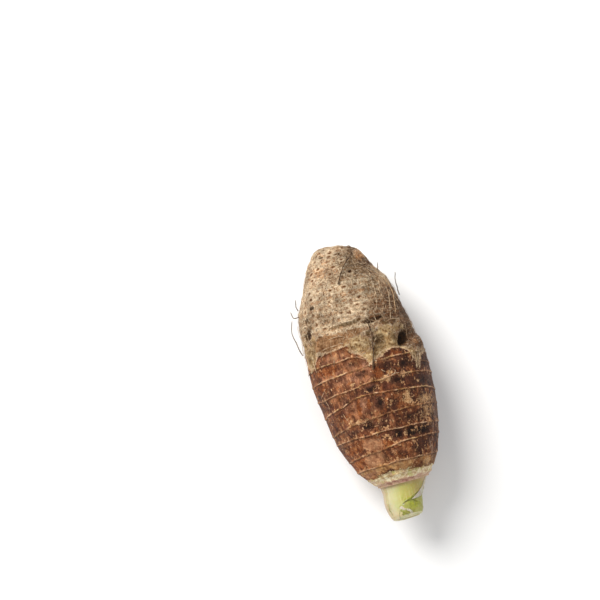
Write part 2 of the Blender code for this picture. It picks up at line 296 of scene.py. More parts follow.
def ring_of(pixels, under):
    """A leaf scar as s at each angle: what is seen on top, and a plain run underneath."""
    found = on_skin(pixels)
    found = found[np.argsort(found[:, 1])]
    turn, s = found[:, 1], found[:, 0]
    below = (s[0] + s[-1]) / 2 + under
    knots = np.concatenate([[-90.0], turn, [270.0]])
    values = np.concatenate([[below], s, [below]])

    def at(angle):
        degrees = (np.degrees(angle) + 90.0) % 360.0 - 90.0
        k = np.clip(np.searchsorted(knots, degrees, side="right") - 1, 0, len(knots) - 2)
        f = (degrees - knots[k]) / np.maximum(knots[k + 1] - knots[k], 1e-6)
        wide = knots[k + 1] - knots[k] > 25
        f = np.where(wide, f * f * (3 - 2 * f), f)
        return values[k] + (values[k + 1] - values[k]) * f

    return at


# Leaf scars by the pixels along them, then how far they wander underneath and how clear they are.
HEM = ((369, 482.2), (376, 479.3), (386.6, 473.7), (398, 470.1), (411.4, 468.7), (425.6, 466.6))
RINGS = (
    (((357.6, 473.7), (368.9, 469.4), (376, 467.3), (386.6, 464.5), (397.3, 460.4), (404.3, 459.2), (415, 456.7), (434.8, 451.7)), 0.6, 0.8),
    (((349.8, 463.8), (358.3, 458.8), (365.4, 455.6), (380, 451), (393.7, 444.8), (400.8, 441.3), (411.4, 438.3), (422, 435.4), (430.5, 433.3), (436.6, 432)), -0.8, 0.9),
    (((337.8, 445.4), (347.7, 441.8), (354.8, 439), (364, 436.9), (372.5, 434.7), (379.6, 431.9), (390.2, 429), (400.8, 427.7), (407.9, 425.5), (418.5, 423), (429.1, 421.3), (438, 420.6)), 1.0, 1.0),
    (((335, 436.4), (343.4, 431), (352, 426), (360, 422.6), (369, 419.6), (379.6, 415.7), (391.2, 411.8), (404.7, 407.6), (417.8, 404.4), (430, 402.6), (439.4, 402.2)), -0.6, 0.75),
    (((325.8, 419.6), (333.6, 412.6), (343.2, 406.6), (351.8, 400.5), (360.5, 396.2), (369.2, 394.4), (378.7, 392.7), (391.7, 390.5), (400.4, 388.8), (409, 387.5), (420.4, 386.2), (433.4, 387.5), (437, 388.4)), 0.8, 1.0),
    (((317, 404), (326.7, 400.5), (335.4, 395.3), (346.6, 391.8), (357, 387.5), (365.7, 383.2), (374.4, 380.6), (380, 380), (388.3, 376.4), (398, 373.6), (413, 371.6), (426.4, 370.4), (434, 371.5)), -1.2, 0.95),
    (((314.5, 387.5), (322.3, 382.3), (335.4, 377.1), (344, 373.6), (351.8, 371), (360.5, 368), (367, 365.2), (380, 362), (392, 360), (405, 359.6), (418, 360.4), (431, 362)), 0.9, 0.9),
    (((311, 372.8), (318, 368), (326.7, 365), (339.7, 361.5), (348.4, 358.4), (357, 356.7), (366, 359.5), (374.4, 362.1), (378.7, 360.5), (387.4, 357.1), (397.8, 354.5), (409, 352.4), (424, 350)), -0.7, 0.9),
    (((303, 336), (315, 333), (327, 330.2), (337, 327), (349, 323), (361, 320.3), (372, 318.4), (385, 317.5), (396, 318.5), (412, 320)), 1.4, 0.35),
    (((301.5, 291), (311, 289), (320, 286.4), (330, 284), (343, 282.5), (358, 280), (372, 279), (388, 279)), 0.0, 0.18),
    (((303.5, 277), (312, 274), (324, 271.4), (338, 269), (352, 267.4), (368, 267), (378, 269)), 1.0, 0.12),
)
# How far the brown skin reaches towards the root end.
TORN = (
    (298.6, 349), (301, 355), (304.5, 363), (308, 369.5), (311.6, 372.6), (314, 368), (315.8, 361.5),
    (317.2, 357.6), (324, 354.6), (331, 351.8), (337, 349.4), (342, 347.2), (345.6, 346.4), (347.8, 348.0),
    (349.0, 351.4), (353.5, 353.0), (358.4, 355.0), (363.6, 357.2), (367.0, 360.6),
    (368.4, 363.4), (370.0, 365.4), (372.6, 362.8), (377.2, 358.6), (382.4, 355.0), (386.6, 351.6),
    (390.2, 348.6), (395.0, 347.4), (400.5, 346.4), (404.5, 348.2), (408.5, 351.4), (412.0, 356.4), (415.4, 358.0),
    (417.4, 366.0), (419.6, 364.0), (421.0, 355.0), (424.4, 352.0), (429.0, 352.0),
)


def to_line(px, py, line):
    """Distance in pixels to a line of points, and how far along it the nearest point is."""
    best = np.full(len(px), 1e9)
    along = np.zeros(len(px))
    for n, ((ax, ay), (bx, by)) in enumerate(zip(line[:-1], line[1:])):
        dx, dy = bx - ax, by - ay
        f = np.clip(((px - ax) * dx + (py - ay) * dy) / (dx * dx + dy * dy), 0, 1)
        d = np.hypot(px - ax - f * dx, py - ay - f * dy)
        near = d < best
        best = np.where(near, d, best)
        along = np.where(near, n + f, along)
    return best, along


def inside(px, py, shape):
    """Which points lie in a closed outline."""
    found = np.zeros(len(px), bool)
    for (ax, ay), (bx, by) in zip(shape, shape[1:] + shape[:1]):
        crosses = (ay > py) != (by > py)
        with np.errstate(divide="ignore", invalid="ignore"):
            at = ax + (py - ay) * (bx - ax) / (by - ay)
        found ^= crosses & (px < at)
    return found


def blobs(px, py, rows):
    """A field that is 1 inside soft ellipses and falls through 0.5 at their edges.

    Each row: px, py, half length, half width, tilt in degrees (up to the right), strength."""
    field = np.zeros(len(px))
    for cx, cy, rx, ry, tilt, strength in rows:
        t = math.radians(tilt)
        dx, dy = px - cx, -(py - cy)
        a = (dx * math.cos(t) + dy * math.sin(t)) / rx
        b = (-dx * math.sin(t) + dy * math.cos(t)) / ry
        d = np.hypot(a, b)
        field = np.maximum(field, strength * np.exp(-0.693 * d**1.8))
    return field


# Patches of the skin: px, py, half length, half width, tilt, strength.
DARK = (
    (360.5, 375.0, 9, 4.5, 18, 0.72), (390, 365, 6, 4.5, 10, 1.0), (404, 362, 12, 5, 8, 0.9), (398.7, 379, 9, 4.5, 15, 1.0),
    (370, 390, 9, 4.0, 15, 1.0), (380.4, 402.6, 5.4, 7, 0, 1.02), (384, 421, 6, 4, 12, 0.75), (351.4, 366, 5, 3.4, 10, 0.55), (346, 404, 4.4, 6.4, 20, 0.7), (339, 379.5, 7, 2.4, 20, 0.6), (420, 379.5, 12, 6, 5, 0.85),
    (433, 414, 3, 12, -3, 0.5), (409, 417, 7, 4.4, 15, 1.0), (369.4, 425.4, 9.4, 5.4, 12, 0.96), (386, 425.4, 6.0, 3.8, 10, 0.88), (355.5, 433, 5, 3, 20, 0.7),
    (398.4, 434, 6, 5.2, 10, 1.35), (411.4, 431.2, 5, 5.4, 0, 1.4), (422, 428.4, 9, 5, 12, 1.25), (418.5, 444, 8, 7.5, 20, 0.78),
    (420, 452.6, 4, 3, 0, 0.62), (354, 433.5, 6.5, 2.8, 20, 0.7), (343, 451, 4, 5, 20, 0.7), (391, 472.4, 5, 3.2, 15, 0.85),
    (429, 466, 3, 3, 0, 0.85), (386, 436, 8, 3, 18, 0.7), (396, 402, 5, 6, 0, 0.65), (352, 404.5, 5, 6, 20, 0.35),
    (430, 441, 4, 8, 0, 0.65), (400, 397, 4, 3, 0, 0.4), (375, 404, 2, 7, 0, 0.6), (331, 425, 5, 4, 30, 0.55),
    (405, 452, 5, 3, 18, 0.55), (386, 455, 3, 5, 10, 0.55), (345, 365, 8, 2.4, 16, 0.3), (412, 470, 6, 1.6, 12, 0.5),
    (377, 447, 2, 3, 0, 0.2), (391, 406, 8, 5, 10, 0.5), (398, 367, 15, 6, -6, 0.35), (424, 362, 6, 6, 0, 0.75), (342, 425, 4, 3, 30, 0.4), (325, 409, 5, 3, 20, 0.35),
)
ORANGE = (
    (327, 372, 14, 5, 20, 0.85), (319, 391, 9, 6, 20, 0.75), (378.5, 372.5, 6, 6.5, 0, 0.9), (397, 351.5, 6, 3, 0, 0.85),
    (359, 408, 2.6, 11, 4, 0.8), (369, 405, 2.4, 8, 0, 0.75), (354.5, 450, 7.5, 5.5, 20, 1.0), (359, 465, 8, 6.5, 25, 1.08),
    (371, 476, 9, 4, 22, 1.0), (389, 443, 6, 3, 15, 0.75), (410.5, 445, 2.2, 2.2, 0, 0.9), (418, 463, 5, 4, 20, 0.85),
    (345, 418, 8, 4, 28, 0.6), (350, 384, 8, 3, 20, 0.45), (335, 390, 9, 3, 20, 0.5), (400, 403, 3, 8, 0, 0.6),
    (366, 372, 4, 4, 0, 0.5), (415, 410, 4, 5, 0, 0.5), (340, 400, 6, 3, 22, 0.4), (424, 470, 4, 3, 0, 0.7),
)
LIGHT = (
    (372.5, 444.6, 10, 6, 12, 1.0), (375.5, 459.4, 10, 6, 14, 1.05), (428, 459, 4.4, 5.4, 0, 0.7), (394, 450, 8, 4.6, 15, 0.55),
    (404, 463, 14, 4, 14, 0.75), (374, 473, 13, 5, 18, 0.75), (400, 468, 14, 3, 13, 0.7), (372, 352.6, 5, 5, 0, 0.3),
    (333, 358, 10, 4, 18, 0.6), (352, 363, 8, 3, 12, 0.5), (430, 445, 3, 6, 0, 0.5), (352, 375.6, 5, 3, 16, 0.4),
    (345, 387, 6, 3, 20, 0.35), (405, 455, 5, 2.4, 15, 0.4),
)
BEIGE = (
    (408.5, 398.6, 5, 6.5, 10, 0.95), (425, 398.5, 7.5, 5, -20, 0.95), (426.5, 410.5, 5, 8, -8, 1.05), (403, 374.6, 5, 2.6, 15, 0.8),
    (386, 378.2, 4.4, 2.6, 20, 0.85), (406.4, 432.6, 1.6, 3.8, -5, 0.9), (418, 419, 3, 3, 0, 0.6), (391, 371.5, 4, 2, 40, 0.7), (413, 424, 4, 1.6, 12, 0.6),
    (418.6, 380.8, 1.1, 1.1, 0, 1.2), (351.7, 385.4, 1.6, 1.3, 0, 0.95), (393.3, 421.3, 1.6, 1.9, 0, 0.85), (390.2, 437.4, 1.5, 2.0, 0, 0.85),
    (348, 419, 1.0, 2.0, -40, 1.1), (351, 422.4, 0.9, 1.8, -40, 1.1), (372, 413, 1.0, 2.8, 0, 0.9), (377.5, 430.5, 1.8, 1.0, 0, 0.7),
    (327, 393.6, 1.2, 2.4, -20, 0.9), (391.6, 402, 1.6, 3.6, 0, 0.55), (358, 423.4, 7.5, 1.7, 14, 0.92),
    (351, 367, 2, 1, 0, 0.6), (428, 460, 3.4, 4.4, 0, 0.8), (415, 449, 3, 1, 20, 0.4), (345, 433, 4, 1.2, 25, 0.6),
)
TAN_DARK = (
    (357, 262, 13, 9, -25, 1.3), (363.4, 261, 4, 3, -30, 0.6), (351, 270, 4.4, 2.4, -10, 0.7), (361, 270.6, 5, 2.4, -20, 0.6), (367, 264.4, 3, 3, 0, 0.5), (349, 269, 7, 5, 0, 0.9), (367, 271, 8, 5, -20, 0.95), (350, 252, 6, 6, 0, 0.85),
    (343, 262, 5, 7, 20, 0.6), (376, 279, 6, 4, -40, 0.6), (337.7, 253.6, 4.4, 1.5, 18, 0.9),
    (320.4, 257.2, 3.6, 1.3, 25, 0.9), (351, 250.5, 4, 3, 0, 0.7), (372, 286, 6, 9, 0, 0.55), (317, 316.5, 13, 6, 5, 0.50),
    (363, 289, 3, 4, 0, 0.4), (310, 322, 5, 5, 0, 0.5), (378, 295, 4, 5, 0, 0.6), (336, 312, 5, 6, 20, 0.35),
    (324, 321, 10, 3.4, 8, 0.55), (341, 312, 4, 6, 20, 0.45), (329, 262, 3, 8, 20, 0.3), (306, 333, 3.4, 9, -6, 0.65), (341, 276, 3, 5, -20, 0.3), (370, 256, 4, 4, -45, 0.5), (331, 318, 3, 6, 0, 0.4),
)
# Reddish brown skin on the right of the root end, made darker there partly as painted shade on the side away from the
# light.
RED_SKIN_AND_SHADE = (
    (386, 305, 13, 9, 10, 0.95), (393, 314, 15, 8, 20, 1.0), (404, 326, 8, 9, -50, 0.85),
    (398, 300, 8, 12, -60, 0.85), (378, 316, 9, 4, 10, 0.9), (404, 313, 8, 10, -60, 0.95), (388, 290, 6, 10, -60, 0.65),
    (369, 262, 5, 6, -45, 0.6), (413, 334, 6, 9, -60, 1.05), (418, 343, 4, 6, -60, 0.9), (408, 342, 3, 5, 0, 0.6),
    (360, 318, 6, 2.4, 12, 0.6),
)
TAN_LIGHT = (
    (314, 261.6, 5.6, 5.6, 0, 1.05), (312, 253, 5, 4, 40, 0.9), (310, 292, 9, 8, 10, 0.95), (352.7, 305.6, 9, 6, -20, 0.85), (363.5, 310, 6, 5, -20, 0.8),
    (322, 287, 14, 2, 16, 0.7), (341, 289, 10, 5, 0, 0.6), (325, 250.4, 12, 3, 6, 0.75), (302.5, 300, 3, 10, 0, 0.8),
    (343, 319, 10, 4, 10, 0.65), (331, 305, 7, 6, 0, 0.5), (316, 340, 7, 8, 0, 0.5), (366, 298, 6, 4, -30, 0.55),
    (334, 262, 4, 3, 0, 0.4), (327, 334, 12, 3, 16, 0.5), (314, 258, 3.4, 5, 0, 0.85), (330, 247.6, 10, 2, 3, 0.8),
    (304, 284, 2.6, 9, -5, 0.8), (384, 275, 9, 2.0, -48, 0.95), (390, 290, 2.0, 9, 0, 0.75), (318, 268, 10, 1.6, 10, 0.6),
)
TAN_ORANGE = (
    (323.4, 263, 6, 3.4, 0, 0.9), (320, 272.5, 11, 5, 0, 0.95), (360.5, 254.6, 5, 3.4, -20, 0.9), (311, 278, 4.4, 7, -8, 0.9),
    (333, 270, 6, 4, 0, 0.7), (330, 278, 7, 3, 0, 0.55), (318.6, 254, 3, 1.8, 20, 0.8), (358.8, 255.6, 5.4, 4.2, -35, 1.9), (308, 286, 3, 4, 0, 0.6),
    (311, 304, 5, 2.4, 0, 0.5), (383, 283, 5, 3, -45, 0.55),
)
# Grey patches on the bare root end, and two long strips along the far right edge that are a painted sheen.
GREY_PATCH_AND_SHEEN = (
    (369, 283, 8, 10, 0, 0.95), (340, 298, 10, 10, 0, 0.55), (356, 290, 7, 9, 0, 0.5), (376, 300, 5, 7, 0, 0.6),
    (341, 262, 9, 11, -10, 0.95), (346, 262, 5, 8, -15, 0.5), (352, 280, 8, 7, 0, 0.7), (333, 300, 3, 8, 0, 0.4), (327, 321, 14, 4, 10, 0.45),
    (318.6, 297, 3, 4, 0, 0.5), (310, 345, 5, 8, 0, 0.55), (436.4, 408, 3.4, 34, 0, 1.0), (433, 448, 2.6, 12, 8, 0.9),
)
FLESH = (
    (359, 346, 13, 9, 10, 1.0), (389.5, 341, 10, 8, 20, 1.0), (378, 350, 9, 7, 20, 0.9), (408, 350, 8, 3.2, -10, 0.9),
    (368, 357, 5, 6, 0, 0.9), (385, 330, 12, 5, 10, 0.75), (398, 328, 8, 6, 0, 0.6), (310, 359, 5, 13, 0, 1.0),
    (313, 345, 4, 8, 0, 0.8), (414, 356, 4, 5, 0, 0.9), (303, 349, 3, 7, 0, 0.7), (398, 346, 6, 3, 0, 0.8),
)
OLIVE = (
    (378, 339, 7, 5, 5, 1.0), (371, 345, 3, 4, 0, 0.6), (344, 324.6, 18, 2.0, 17, 0.85), (369, 333, 5, 5, 0, 0.5),
    (374, 348, 3, 5, 0, 0.6), (353, 352, 4, 2, 0, 0.5), (395, 335, 4, 5, 0, 0.7), (308.5, 327, 3, 5, 0, 0.6),
    (305.4, 338, 2.4, 6, 0, 0.7), (309, 344, 4, 4, 0, 0.6), (308, 361, 2, 6, 0, 0.5), (388, 321, 10, 3, 5, 0.6),
)
REMNANT = (
    (326, 344, 12, 8, 18, 1.0), (340, 339, 10, 6, 20, 0.85), (352, 333, 11, 4.6, 18, 0.85), (366, 328, 7, 3, 10, 0.5),
    (336, 347, 8, 3, 20, 0.8), (372, 323, 6, 3, 0, 0.4), (358, 338, 6, 4, 10, 0.3),
)
DUSTY = (
    (358, 366, 14, 5, 14, 0.95), (340, 372, 12, 4, 18, 0.6), (354, 379, 14, 5, 15, 0.75), (331, 360, 10, 4, 18, 0.6),
    (362, 404, 8, 9, 0, 0.75), (333, 396, 9, 4, 20, 0.45), (345, 404, 4, 8, 20, 0.5), (345, 356, 8, 4, 12, 0.6),
    (350, 432, 6, 5, 20, 0.4), (372, 410, 4, 6, 0, 0.5), (328, 377, 9, 5, 18, 0.5),
)
# Where the leaf scars are worn away, and where dry golden scale lies thick.
FADED = (
    (396, 361, 28, 3.4, 4, 1.0), (375, 450, 9, 3.4, 15, 1.0), (400, 372, 14, 3, 4, 0.5), (356, 424, 5, 3, 20, 0.4),
    (410, 407, 12, 4, 10, 0.5), (384, 357, 6, 4, 20, 0.4),
)
GOLDEN = (
    (323, 392, 10, 8, 20, 0.7), (350, 424, 16, 5, 20, 0.8), (345, 437, 12, 4, 22, 0.7), (392, 447, 12, 7, 15, 1.0),
    (396, 378, 14, 5, 20, 0.7), (410, 404, 16, 8, 0, 0.8), (405, 424, 22, 6, 12, 0.4), (334, 412, 8, 6, 30, 0.6),
    (318, 408, 4, 6, 0, 0.5), (385, 420, 8, 5, 12, 0.15), (398, 352, 10, 3, 0, 0.6),
)
# Root scars that stand out, at the pixels of their dark middles.
SCARS_SEEN = (
    (323.1, 250.4), (329.5, 252.3), (319, 253.7), (328.4, 256.7), (327, 261.4), (314.1, 262.4), (317.4, 269.1),
    (326.3, 268.9), (329.9, 273.7), (332.7, 266.9), (318.4, 275.9), (311.6, 280.7), (319.5, 284.8), (317.4, 291.2),
    (330.2, 290.5), (329.1, 297.3), (319.9, 298.0), (335.6, 305.5), (332.7, 318.7), (349.9, 270.9), (347.7, 276.4),
    (354.5, 283.7), (343.4, 286.7), (349.9, 291.9), (359.1, 296.4), (350.6, 300.9), (365.9, 303.0), (357.4, 304.4),
    (346.3, 308.0), (363.8, 309.4), (349.5, 312.6), (359.9, 313.0), (341.3, 313.0), (350.9, 318.7), (358.8, 319.1),
    (349.1, 248.7), (336.6, 248.4), (342.2, 248.4), (336.3, 253.7), (340.6, 254.8), (341.3, 258.7), (343.8, 251.6),
    (316.0, 325.0), (324.0, 329.0), (313.0, 334.0), (320.5, 337.5), (333.0, 323.5), (326.0, 310.0), (304.6, 312.6),
    (307.5, 268.0), (306.0, 277.0), (304.5, 287.0), (302.5, 297.0), (310.0, 300.0), (371.0, 306.0), (377.5, 311.0),
)


# ---------------------------------------------------------------- the corm's mesh
ROWS, COLUMNS_TOP, COLUMNS_UNDER = 372, 176, 88


def profile_rows(count):
    """s of rows spaced evenly along the skin, closer together where it turns in."""
    s = np.concatenate([np.linspace(CORM[0][0], 190, 1600), 199 - 9 * np.cos(np.linspace(0, math.pi / 2, 900)[1:])[::1] ** 1.0])
    s = np.unique(np.clip(s, CORM[0][0], ROOT_TIP[0]))
    points = corm_points(s, np.full(len(s), math.radians(20.0)), pressed=False)
    run = np.concatenate([[0], np.cumsum(np.linalg.norm(np.diff(points, axis=0), axis=1))])
    return np.interp(np.linspace(0, run[-1], count + 1)[:-1], run, s)


def nearest_on(angle, rings):
    """s of every ring at every angle."""
    return np.stack([ring(angle) for ring in rings])


def corm_fields(s, angle, base):
    """Everything about the skin at its points that colour or relief depends on."""
    px, py = seen_at(base)
    n = len(s)
    wobble = rough_noise(base, 7.0, 5, 3)
    wobble2 = rough_noise(base, 2.4, 9, 3)
    over = eased(np.sin(angle), -0.10, 0.06)  # 1 on the side that the photograph shows
    # Underneath, the same kinds of patches lie elsewhere.
    mpx = px + 26 * wave_noise(base, 30, 71) + 8 * wobble
    mpy = py + 34 * wave_noise(base, 34, 72) + 8 * wobble
    jx = px + 2.0 * wobble + 1.0 * wobble2
    jy = py + 2.0 * rough_noise(base, 6.0, 6, 3) + 0.8 * rough_noise(base, 2.2, 7, 2)

    def field(rows):
        return over * blobs(jx, jy, rows) + (1 - over) * blobs(mpx, mpy, rows)

    rings = [ring_of(line, under) for line, under, _ in RINGS]
    where = nearest_on(angle, rings) + 0.25 * wobble[None, :] + 0.12 * wobble2[None, :]
    gap = s[None, :] - where
    k = np.argmin(np.abs(gap), axis=0)
    cols = np.arange(n)
    ring = gap[k, cols]
    clear = np.array([c for _, _, c in RINGS])[k] * (1 - field(FADED))
    hem = s - ring_of(HEM, 0.4)(angle) - 0.35 * wobble
    row = np.sin(2 * math.pi * (s + 1.3 * rough_noise(base, 16.0, 25, 2) + 0.5 * wobble) / 5.4)
    # Painted shade: deep is 1 on the right side, away from the key light, and darkens the colour there; underneath it
    # varies at random.
    away = eased(base[:, 0], -14, 30)
    deep = over * away + (1 - over) * (0.5 + 0.6 * wave_noise(base, 26, 73))
    golden = np.clip(over * (eased(s, 84, 52) + 0.9 * blobs(px, py, GOLDEN)) + (1 - over) * (0.4 + wave_noise(base, 20, 74)), 0, 1)
    order = np.sort(where, axis=0)
    band = (s[None, :] > order).sum(axis=0)
    low = np.where(band > 0, order[np.maximum(band - 1, 0), cols], 31.0)
    high = np.where(band < len(rings), order[np.minimum(band, len(rings) - 1), cols], 200.0)
    share = np.clip((s - low) / np.maximum(high - low, 0.5), 0, 1)

    # Signed distance to the torn edge in mm, above 0 where the brown skin is gone.
    line = list(TORN)
    shape = [(280.0, 349.0)] + line + [(450.0, 352.0), (450.0, 200.0), (280.0, 200.0)]
    tx, ty = px + 0.5 * wobble2, py + 0.6 * wobble + 0.5 * wobble2
    d, _ = to_line(tx, ty, [shape[0]] + line + [(450.0, 352.0)])
    top_zone = np.where(inside(tx, ty, shape), d, -d) * PIXEL
    turn = angle % (2 * math.pi)
    below = np.clip((turn - math.pi) / math.pi, 0, 1)
    edge = 130.0 + (112.0 - 130.0) * below - 10 * np.sin(below * math.pi) + 4.5 * np.sin(below * 9.0) + 3.0 * wobble + 1.5 * wobble2
    zone = over * top_zone + (1 - over) * (s - edge)

    dots, strong = np.full(n, 9.0), np.zeros(n)
    spots = on_skin(SCARS_SEEN)
    centres = [
        (c, 0.62 + 0.38 * math.sin(2.4 * number))
        for number, c in enumerate(corm_points(spots[:, 0], np.radians(spots[:, 1])))
    ]
    # More of them, in loose rows over the rest of the bare root end.
    step = 0
    for row_s in np.arange(127.0, 197.0, 5.4):
        left, right, up, down = outline_at(CORM, np.array([row_s]))[0]
        size = (right - left) / 2
        count = max(int(2 * math.pi * size / 7.2), 3)
        for c in range(count):
            step += 1
            r = np.array([step])
            a = 2 * math.pi * (c + 0.9 * (float(chance(r, r, r, 3)[0]) - 0.5)) / count
            at_s = row_s + 3.4 * (float(chance(r, r, r, 4)[0]) - 0.5) + 1.4 * math.sin(2 * a)
            point = corm_points(np.array([at_s]), np.array([a]))[0]
            if min(np.linalg.norm(point - c0) for c0, _ in centres) > 4.6:
                dim = 0.35 if math.sin(a) > -0.1 and point[0] > -8 else 1.0
                centres.append((point, dim * (0.2 + 0.6 * float(chance(r, r, r, 8)[0]))))
    for number, (c0, strength) in enumerate(centres):
        r = np.array([number])
        wide, tall = 0.55 + 0.25 * float(chance(r, r, r, 5)[0]), 0.85 + 0.5 * float(chance(r, r, r, 6)[0])
        idx = np.nonzero(np.abs(base[:, 1] - c0[1]) < 3.0)[0]
        d = np.linalg.norm((base[idx] - c0) * np.array([wide, tall, wide]), axis=1)
        nearer = d < dots[idx]
        dots[idx] = np.where(nearer, d, dots[idx])
        strong[idx] = np.where(nearer, strength, strong[idx])
    bare = eased(zone, 1.0, 3.5) * (1 - 0.9 * field(REMNANT)) * (1 - 0.85 * eased(field(FLESH), 0.35, 0.6))
    bare *= (1 - eased(s, 138, 130) * 0.6) * strong * (1 - 0.75 * field(RED_SKIN_AND_SHADE)) * (1 - 0.5 * field(TAN_DARK))

    return {
        "px": px, "py": py, "over": over, "wobble": wobble, "wobble2": wobble2,
        "ring": ring, "clear": clear, "share": share, "hem": hem, "row": row, "deep": deep, "golden": golden,
        "zone": zone, "dots": dots, "bare": bare,
        "dark": field(DARK), "orange": field(ORANGE), "light": field(LIGHT), "beige": field(BEIGE),
        "tan_dark": field(TAN_DARK), "red_skin_and_shade": field(RED_SKIN_AND_SHADE), "tan_light": field(TAN_LIGHT),
        "tan_orange": field(TAN_ORANGE), "grey_patch_and_sheen": field(GREY_PATCH_AND_SHEEN),
        "flesh": field(FLESH), "olive": field(OLIVE), "remnant": field(REMNANT), "dusty": field(DUSTY),
    }


def corm_relief(s, angle, base, f):
    """How far the skin stands out of its smooth form, in mm, and how much painted shade lies in its pits, holes and
    cracks.
    """
    brown = eased(-f["zone"], -0.2, 0.5)
    px, py = f["px"], f["py"]
    over = f["over"]
    ridge_break = 0.55 + 0.45 * rough_noise(base, 3.0, 41, 2)
    ridge = 0.50 * f["clear"] * np.exp(-((f["ring"] / 0.62) ** 2)) * ridge_break
    groove = -0.16 * f["clear"] * np.exp(-(((f["ring"] + 1.3) / 0.8) ** 2))
    hollow = -0.34 * np.sin(np.pi * f["share"]) * brown
    out = ridge + groove * brown + hollow
    out += 0.30 * rough_noise(base, 9.0, 11, 4) + 0.12 * rough_noise(base, 2.2, 12, 3)
    # Fine wrinkles that run along the corm between the scars.
    along = base * np.array([1.0, 0.16, 1.0])
    out += brown * 0.13 * rough_noise(along, 1.5, 13, 3)
    # Skin that is gone: a step down at the torn edge, then ragged flesh.
    edge = eased(f["zone"], -0.25, 0.35)
    out += -0.62 * edge
    out += 0.30 * np.exp(-(((f["zone"] + 0.55) / 0.6) ** 2)) * (0.6 + 0.6 * f["wobble2"])
    out += edge * eased(f["flesh"], 0.3, 0.8) * (-0.55 + 0.55 * rough_noise(base, 5.0, 15, 4))
    out += edge * 0.18 * rough_noise(base, 1.3, 16, 3)
    # Bare root end: dimpled, with a low rim round each root scar.
    dot = f["dots"]
    rim = np.exp(-(((dot - 1.35) / 0.55) ** 2))
    pit = np.exp(-((dot / 0.62) ** 2))
    out += f["bare"] * (0.16 * rim - 0.26 * pit)
    out += edge * (0.38 * rough_noise(base * np.array([1, 0.7, 1]), 4.0, 17, 4) + 0.14 * f["row"])
    out += edge * 0.30 * f["red_skin_and_shade"] * rough_noise(base * np.array([0.3, 1, 0.3]), 1.6, 18, 3)

    pit_shade = np.zeros(len(s))

    # A dent in the skin, with painted shade of strength dark in its hollow.
    def dent(cx, cy, rx, ry, tilt, depth, dark, sharp=2.4):
        nonlocal out, pit_shade
        t = math.radians(tilt)
        jx, jy = px + 0.8 * f["wobble2"], py + 0.8 * f["wobble"]
        dx, dy = jx - cx, -(jy - cy)
        a = (dx * math.cos(t) + dy * math.sin(t)) / rx
        b = (-dx * math.sin(t) + dy * math.cos(t)) / ry
        d = np.hypot(a, b)
        hole = np.exp(-0.693 * d**sharp) * over
        out = out - depth * hole
        pit_shade = np.maximum(pit_shade, dark * hole)

    dent(406.2, 335.8, 4.9, 7.0, -14, 4.6, 1.0, 2.8)  # the old bud's hole
    dent(402.4, 340.6, 3.8, 4.6, 0, 2.2, 0.85)
    dent(411.6, 333.0, 3.4, 5.4, 0, 0.6, 0.42)
    dent(400.0, 331.0, 5.0, 4.0, 0, 0.7, 0.35)
    dent(369.0, 320.8, 6.4, 2.2, 8, 1.7, 0.95)  # a crack in the bare end
    dent(378.6, 317.2, 6.0, 1.7, 18, 1.2, 0.85)
    dent(310.3, 308.4, 3.2, 2.5, 20, 1.4, 0.72)
    dent(304.6, 321.6, 1.3, 3.6, -8, 1.3, 0.85)
    dent(306.3, 336.5, 2.6, 6.8, -10, 1.6, 0.8)
    dent(318.8, 356.6, 3.0, 1.5, 18, 0.8, 0.7)
    dent(349.9, 270.9, 2.2, 1.4, 20, 0.7, 0.8)
    dent(337.6, 253.4, 3.2, 1.1, 20, 0.5, 0.6)
    dent(320.6, 257.2, 3.0, 1.0, 25, 0.5, 0.6)
    dent(378.4, 339.4, 6.5, 4.6, 5, 1.1, 0.25)
    dent(370.4, 347.0, 3.0, 5.0, 0, 0.7, 0.2)
    dent(368.8, 362.0, 3.4, 5.0, 0, 0.3, 0.0)
    dent(345.0, 324.6, 18.0, 1.2, 17, 0.25, 0.05)
    dent(309.5, 352.0, 5.0, 17.0, 6, 1.3, 0.0)
    dent(331.5, 316.0, 2.4, 5.0, 0, 0.5, 0.25)
    dent(388.0, 357.0, 3.0, 2.0, 30, 0.4, 0.3)
    # A flap of torn skin stands out at the right edge, and the flesh beside the hole swells.
    flap = blobs(px + 0.6 * f["wobble"], py, ((417.6, 341.0, 3.2, 5.6, 28, 1.0),)) * over
    out += 2.3 * flap
    out += 1.3 * blobs(px, py, ((391.0, 337.0, 5.0, 7.0, 0, 1.0), (412.0, 350.0, 5.0, 4.0, 0, 0.8))) * over
    out += 0.8 * blobs(px, py, ((317.0, 341.0, 3.0, 16.0, -6, 1.0), (356.0, 300.0, 12.0, 14.0, 0, 0.7))) * over
    # Square shoulders and a tuft at the root end.
    out += over * 1.4 * blobs(px, py, ((353.0, 248.0, 7.0, 4.0, -20, 1.0), (316.0, 250.5, 6.0, 4.0, 40, 0.8), (338.0, 247.0, 8.0, 3.0, 0, 1.0)))
    out += over * 1.2 * blobs(px, py, ((381.0, 271.0, 8.0, 4.0, -48, 1.0),))
    out += over * 1.2 * blobs(px, py, ((348.4, 246.0, 1.6, 2.2, 0, 1.0),))
    # The skin's last edge over the leaf base.
    out += 0.55 * eased(f["hem"] + 0.9 * f["wobble2"], -0.5, 0.4) - 0.45
    return out, pit_shade


def mesh_object(name, points, faces, smooth=True):
    mesh = bpy.data.meshes.new(name)
    mesh.from_pydata(placed(points).tolist(), [], faces)
    mesh.update()
    if smooth:
        mesh.shade_smooth()
    made = bpy.data.objects.new(name, mesh)
    bpy.context.scene.collection.objects.link(made)
    return made


